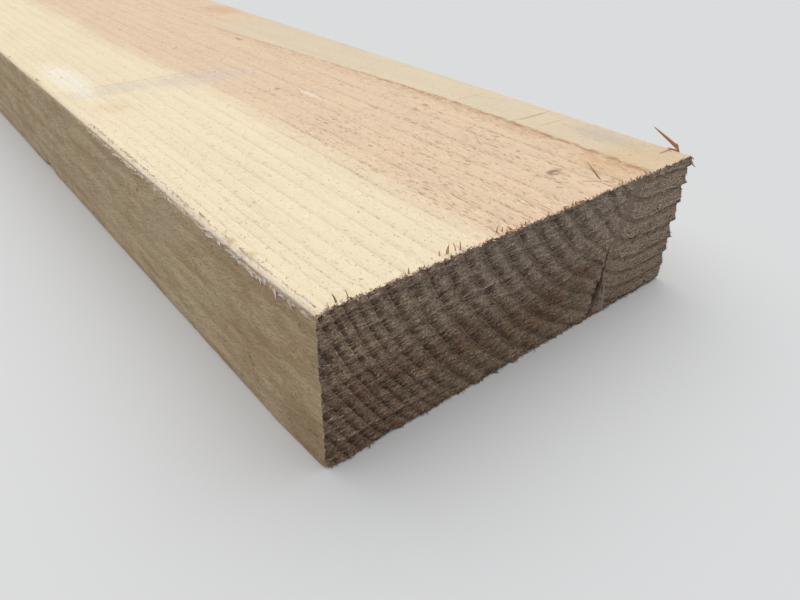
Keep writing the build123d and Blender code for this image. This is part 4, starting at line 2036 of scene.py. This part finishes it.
        # Painted shade under the ledges of the rows, and painted light on their feet
        tone = tone + masks.row.curve(self.painted_shade_under_ledge) * masks.left * (1.0 - 0.4 * masks.middle)
        tone = tone + masks.half_row.curve(self.painted_shade_under_half_ledge) * masks.left * masks.middle
        tone = tone * masks.coarse + masks.streak * (0.33 + 0.62 * wood.weave(self.streak_lines))
        # Painted light: lighter towards the top of the end
        wood.shade(tone * wood.z.curve(self.painted_light_by_height))
        wood.lift(masks.coarse * (0.3 * (fine + medium) + 0.28 * crumb - 0.35 * late), 1.0)

    def dress(self, wood: Surface, stock: Stock) -> None:
        """Lays the ends' colours in turn, from the bare wood to the marks on it.

        Args:
            wood: The material in the making.
            stock: The plank's sizes. Not used.
        """
        masks = self._masks(wood)
        wood.cover(self.earlywood)
        wood.lay(masks.right, self.heart_side)
        wood.stain(self.stains, self.stain_edge)
        late = self._lay_latewood(wood, masks)
        self._lay_marks(wood, masks, late)
        self._shade_strokes(wood, masks, late)


@dataclass(frozen=True)
class CleftWood(Finish):
    """Softwood split along its fibres: the eye sees dusty brown walls, streaked, with painted shade that
    darkens them inwards.
    """

    title: str = "cleft_softwood"
    clean: str = "#b39a87"
    streaked: str = "#7d6553"
    # Painted shade: the walls darken inwards from the split end, as less light reaches in
    inside: str = "#2b1f19"
    darkens: Stops = ((1.6, 0.0), (3.6, 0.85))  # by distance from the split end
    streaks: Pattern = Pattern((0.7, 9.0, 0.7), 3.0, 0.6)

    def dress(self, wood: Surface, stock: Stock) -> None:
        """Streaks the cracks' walls and paints shade on them inwards.

        Args:
            wood: The material in the making.
            stock: The plank's sizes. Not used.
        """
        streaks = wood.weave(self.streaks)
        wood.cover(self.clean)
        wood.lay(streaks, self.streaked)
        # Painted shade deeper in the crack
        wood.lay(wood.v.curve(self.darkens), self.inside)
        wood.lift(streaks, 0.2)


@dataclass(frozen=True)
class TornFibre(Finish):
    """Loose softwood fibres that the saw lifted: a little silky, and the eye sees each in its own shade."""

    title: str = "torn_fibre"
    roughness: float = 0.7
    shades: tuple[str, ...] = ("#e9d5b4", "#d9bd97", "#c39a72", "#f2e6cf")
    streaks: Pattern = Pattern((0.3, 1.5, 0.3), 2.0, contrast=1.0)

    def dress(self, wood: Surface, stock: Stock) -> None:
        """Gives each fibre one of the shades or a mix of two, faintly streaked along its length.

        Args:
            wood: The material in the making.
            stock: The plank's sizes. Not used.
        """
        chance = wood.add("ShaderNodeNewGeometry", {}, "Random Per Island")
        wood.tint = wood.add("ShaderNodeValToRGB", {0: chance})
        stops = wood.tint.node.color_ramp.elements
        for number, shade in enumerate(self.shades):
            position = number / (len(self.shades) - 1)
            stop = stops[number] if number < len(stops) else stops.new(position)
            stop.position = position
            stop.color = colour(shade)
        wood.shade(0.75 + 0.5 * wood.weave(self.streaks))


@dataclass(frozen=True)
class Studio:
    """A plain pale floor under plain soft light from above, and the camera."""

    floor_reach: float = 14.0
    floor_seen: str = "#d9dadb"
    floor_bounce: str = "#8c8c8c"
    backdrop: str = "#e4e5e6"
    key_share: float = 0.78
    key_spread: float = 100.0
    key_from: Place = (0.05, 0.20, 1.0)
    fill_share: float = 0.26
    camera_place: Place = (-0.1928, -1.0380, 0.1861)
    camera_yaw: float = 39.96
    camera_pitch: float = 34.19
    camera_roll: float = 1.28
    camera_lens: float = 28.29

    @staticmethod
    def _seen_directly(tree: Tree) -> Socket:
        """1 for rays from the camera and for those that a mirror or glass passes on, otherwise 0.

        Args:
            tree: The node tree that asks.

        Returns:
            The value.
        """
        path = add_node(tree, "ShaderNodeLightPath", {}, "Is Camera Ray").node.outputs
        seen = add_node(tree, MATH, {0: path["Is Camera Ray"], 1: path["Is Glossy Ray"]}, operation="MAXIMUM")
        return add_node(tree, MATH, {0: seen, 1: path["Is Transmission Ray"]}, operation="MAXIMUM")

    def light(self) -> None:
        """Sets the world and the lamp, so that an upward face shows its colour about as written."""
        world = bpy.data.worlds.new("studio")
        bpy.context.scene.world = world
        world.use_nodes = True
        tree = world.node_tree
        tree.nodes.clear()
        fill = add_node(tree, "ShaderNodeBackground", {"Color": (1, 1, 1, 1), "Strength": self.fill_share})
        seen = add_node(tree, "ShaderNodeBackground", {"Color": colour(self.backdrop), "Strength": 1.0})
        mixed = add_node(tree, "ShaderNodeMixShader", {0: self._seen_directly(tree), 1: fill, 2: seen})
        add_node(tree, "ShaderNodeOutputWorld", {"Surface": mixed})
        lamp = bpy.data.lights.new("overhead_softbox", "SUN")
        lamp.energy = self.key_share * math.pi
        lamp.angle = math.radians(self.key_spread)
        key = bpy.data.objects.new("overhead_softbox", lamp)
        key.rotation_mode = "QUATERNION"
        key.rotation_quaternion = Vector(self.key_from).to_track_quat("Z", "Y")
        bpy.context.scene.collection.objects.link(key)

    def floor(self) -> None:
        """Lays the floor, which throws less light back up than it shows to the camera."""
        mesh = bpy.data.meshes.new("floor")
        reach = self.floor_reach
        corners = [(-reach, -reach, 0.0), (reach, -reach, 0.0), (reach, reach, 0.0), (-reach, reach, 0.0)]
        mesh.from_pydata(corners, [], [(0, 1, 2, 3)])
        material = bpy.data.materials.new("plain_floor")
        material.use_nodes = True
        tree = material.node_tree
        tree.nodes.clear()
        tints = {MIX_A: colour(self.floor_bounce), MIX_B: colour(self.floor_seen)}
        inputs = {MIX_FACTOR: self._seen_directly(tree), **tints}
        tint = add_node(tree, MIX, inputs, MIX_COLOUR, data_type="RGBA")
        shader = add_node(tree, "ShaderNodeBsdfDiffuse", {"Color": tint})
        add_node(tree, "ShaderNodeOutputMaterial", {"Surface": shader})
        mesh.materials.append(material)
        ground = bpy.data.objects.new("floor", mesh)
        bpy.context.scene.collection.objects.link(ground)

    def camera(self) -> None:
        """Places the camera, low over the split end's near corner and looking down along the plank."""
        yaw, pitch, roll = (math.radians(a) for a in (self.camera_yaw, self.camera_pitch, self.camera_roll))
        ahead = Vector((math.sin(yaw) * math.cos(pitch), math.cos(yaw) * math.cos(pitch), -math.sin(pitch)))
        level = Vector((math.cos(yaw), -math.sin(yaw), 0.0))
        above = level.cross(ahead)
        right = math.cos(roll) * level + math.sin(roll) * above
        up = math.cos(roll) * above - math.sin(roll) * level
        data = bpy.data.cameras.new("camera")
        data.lens = self.camera_lens
        data.clip_start = 0.01
        eye = bpy.data.objects.new("camera", data)
        turn = Matrix((right, up, -ahead)).transposed().to_4x4()
        eye.matrix_world = Matrix.Translation(self.camera_place) @ turn
        bpy.context.scene.collection.objects.link(eye)
        bpy.context.scene.camera = eye

    def build(self) -> None:
        """Sets up all of it, with colours shown as they are."""
        bpy.context.scene.view_settings.view_transform = "Standard"
        self.light()
        self.floor()
        self.camera()


# The cracks in the end. How deep they run is a guess from how wide they gape.
HEART_SPLIT = Crack(
    tip=(165.8, 38.0),
    neck=(165.3, 26.0),
    waist=(164.6, 16.0),
    foot=160.6,
    neck_gape=1.2,
    gape=5.0,
    foot_gape=1.8,
    deep=75.0,
)
DRYING_CHECK = Crack(
    tip=(179.5, 6.5),
    neck=(179.4, 4.5),
    waist=(179.2, 2.5),
    foot=180.0,
    neck_gape=0.5,
    gape=0.9,
    foot_gape=0.7,
    deep=18.0,
    waver=0.15,
)

# Each group of fibres: its kind, the name of its finish and the shades of its fibres
FIBRES: tuple[tuple[type[FibreGroup], str, tuple[str, ...]], ...] = (
    (
        EndFuzz,
        "end_fuzz",
        ("#6a4c38", "#86684f", "#4d382b", "#a08872", "#8a6549", "#5d4433", "#b9a28a", "#7a5a43", "#a39a8c"),
    ),
    (EdgeChips, "edge_chip", ("#f6eadb", "#dfbf9f", "#bd8a66", "#f6ecdf", "#a4745a", "#eed6c0")),
    (StandingFibres, "standing_fibre", ("#cf9462", "#c8ae82", "#9f8060", "#dcab7a")),
    (
        ArrisFray,
        "frayed_arris",
        ("#efe0d0", "#e6d5bc", "#d6c4b4", "#f4e8da", "#c4aa8c", "#f2e4d6", "#b4967a", "#e0cdb8"),
    ),
    (FaceSlivers, "face_sliver", ("#caa983", "#e3cba6", "#a98258", "#f0e0c0")),
    (CornerSplinter, "corner_splinter", ("#cf8a5c", "#b9764c", "#a8805f")),
    (CurledSplinter, "curled_splinter", ("#a08a78", "#7d6a5d")),
    (LiftedFibre, "lifted_fibre", ("#75543d", "#8a674c")),
    (SplitLip, "split_lip", ("#c0b2ac", "#b2a29a", "#a5958c")),
)


def main() -> None:
    """Builds the plank and its studio, and reports each piece."""
    logging.basicConfig(level=logging.INFO, format="%(message)s")
    stock = Stock.from_frame()
    finishes = {
        Dress.SAWN_FACE: RoughSawnSoftwood().build(stock),
        Dress.END_GRAIN: SawnEndGrain().build(stock),
        Dress.CLEFT: CleftWood().build(stock),
    }
    end, faces = SawnEnd(), LongFaces(stock)
    skin = PlankSkin(stock, end, faces, (HEART_SPLIT, DRYING_CHECK)).build(finishes)
    log.info("%s: %s faces", skin.name, len(skin.data.polygons))
    for kind, title, shades in FIBRES:
        piece = kind(stock, end, faces).build(TornFibre(title, shades=shades).build(stock))
        log.info("%s: %s faces", piece.name, len(piece.data.polygons))
    Studio().build()


if __name__ == "__main__":
    main()
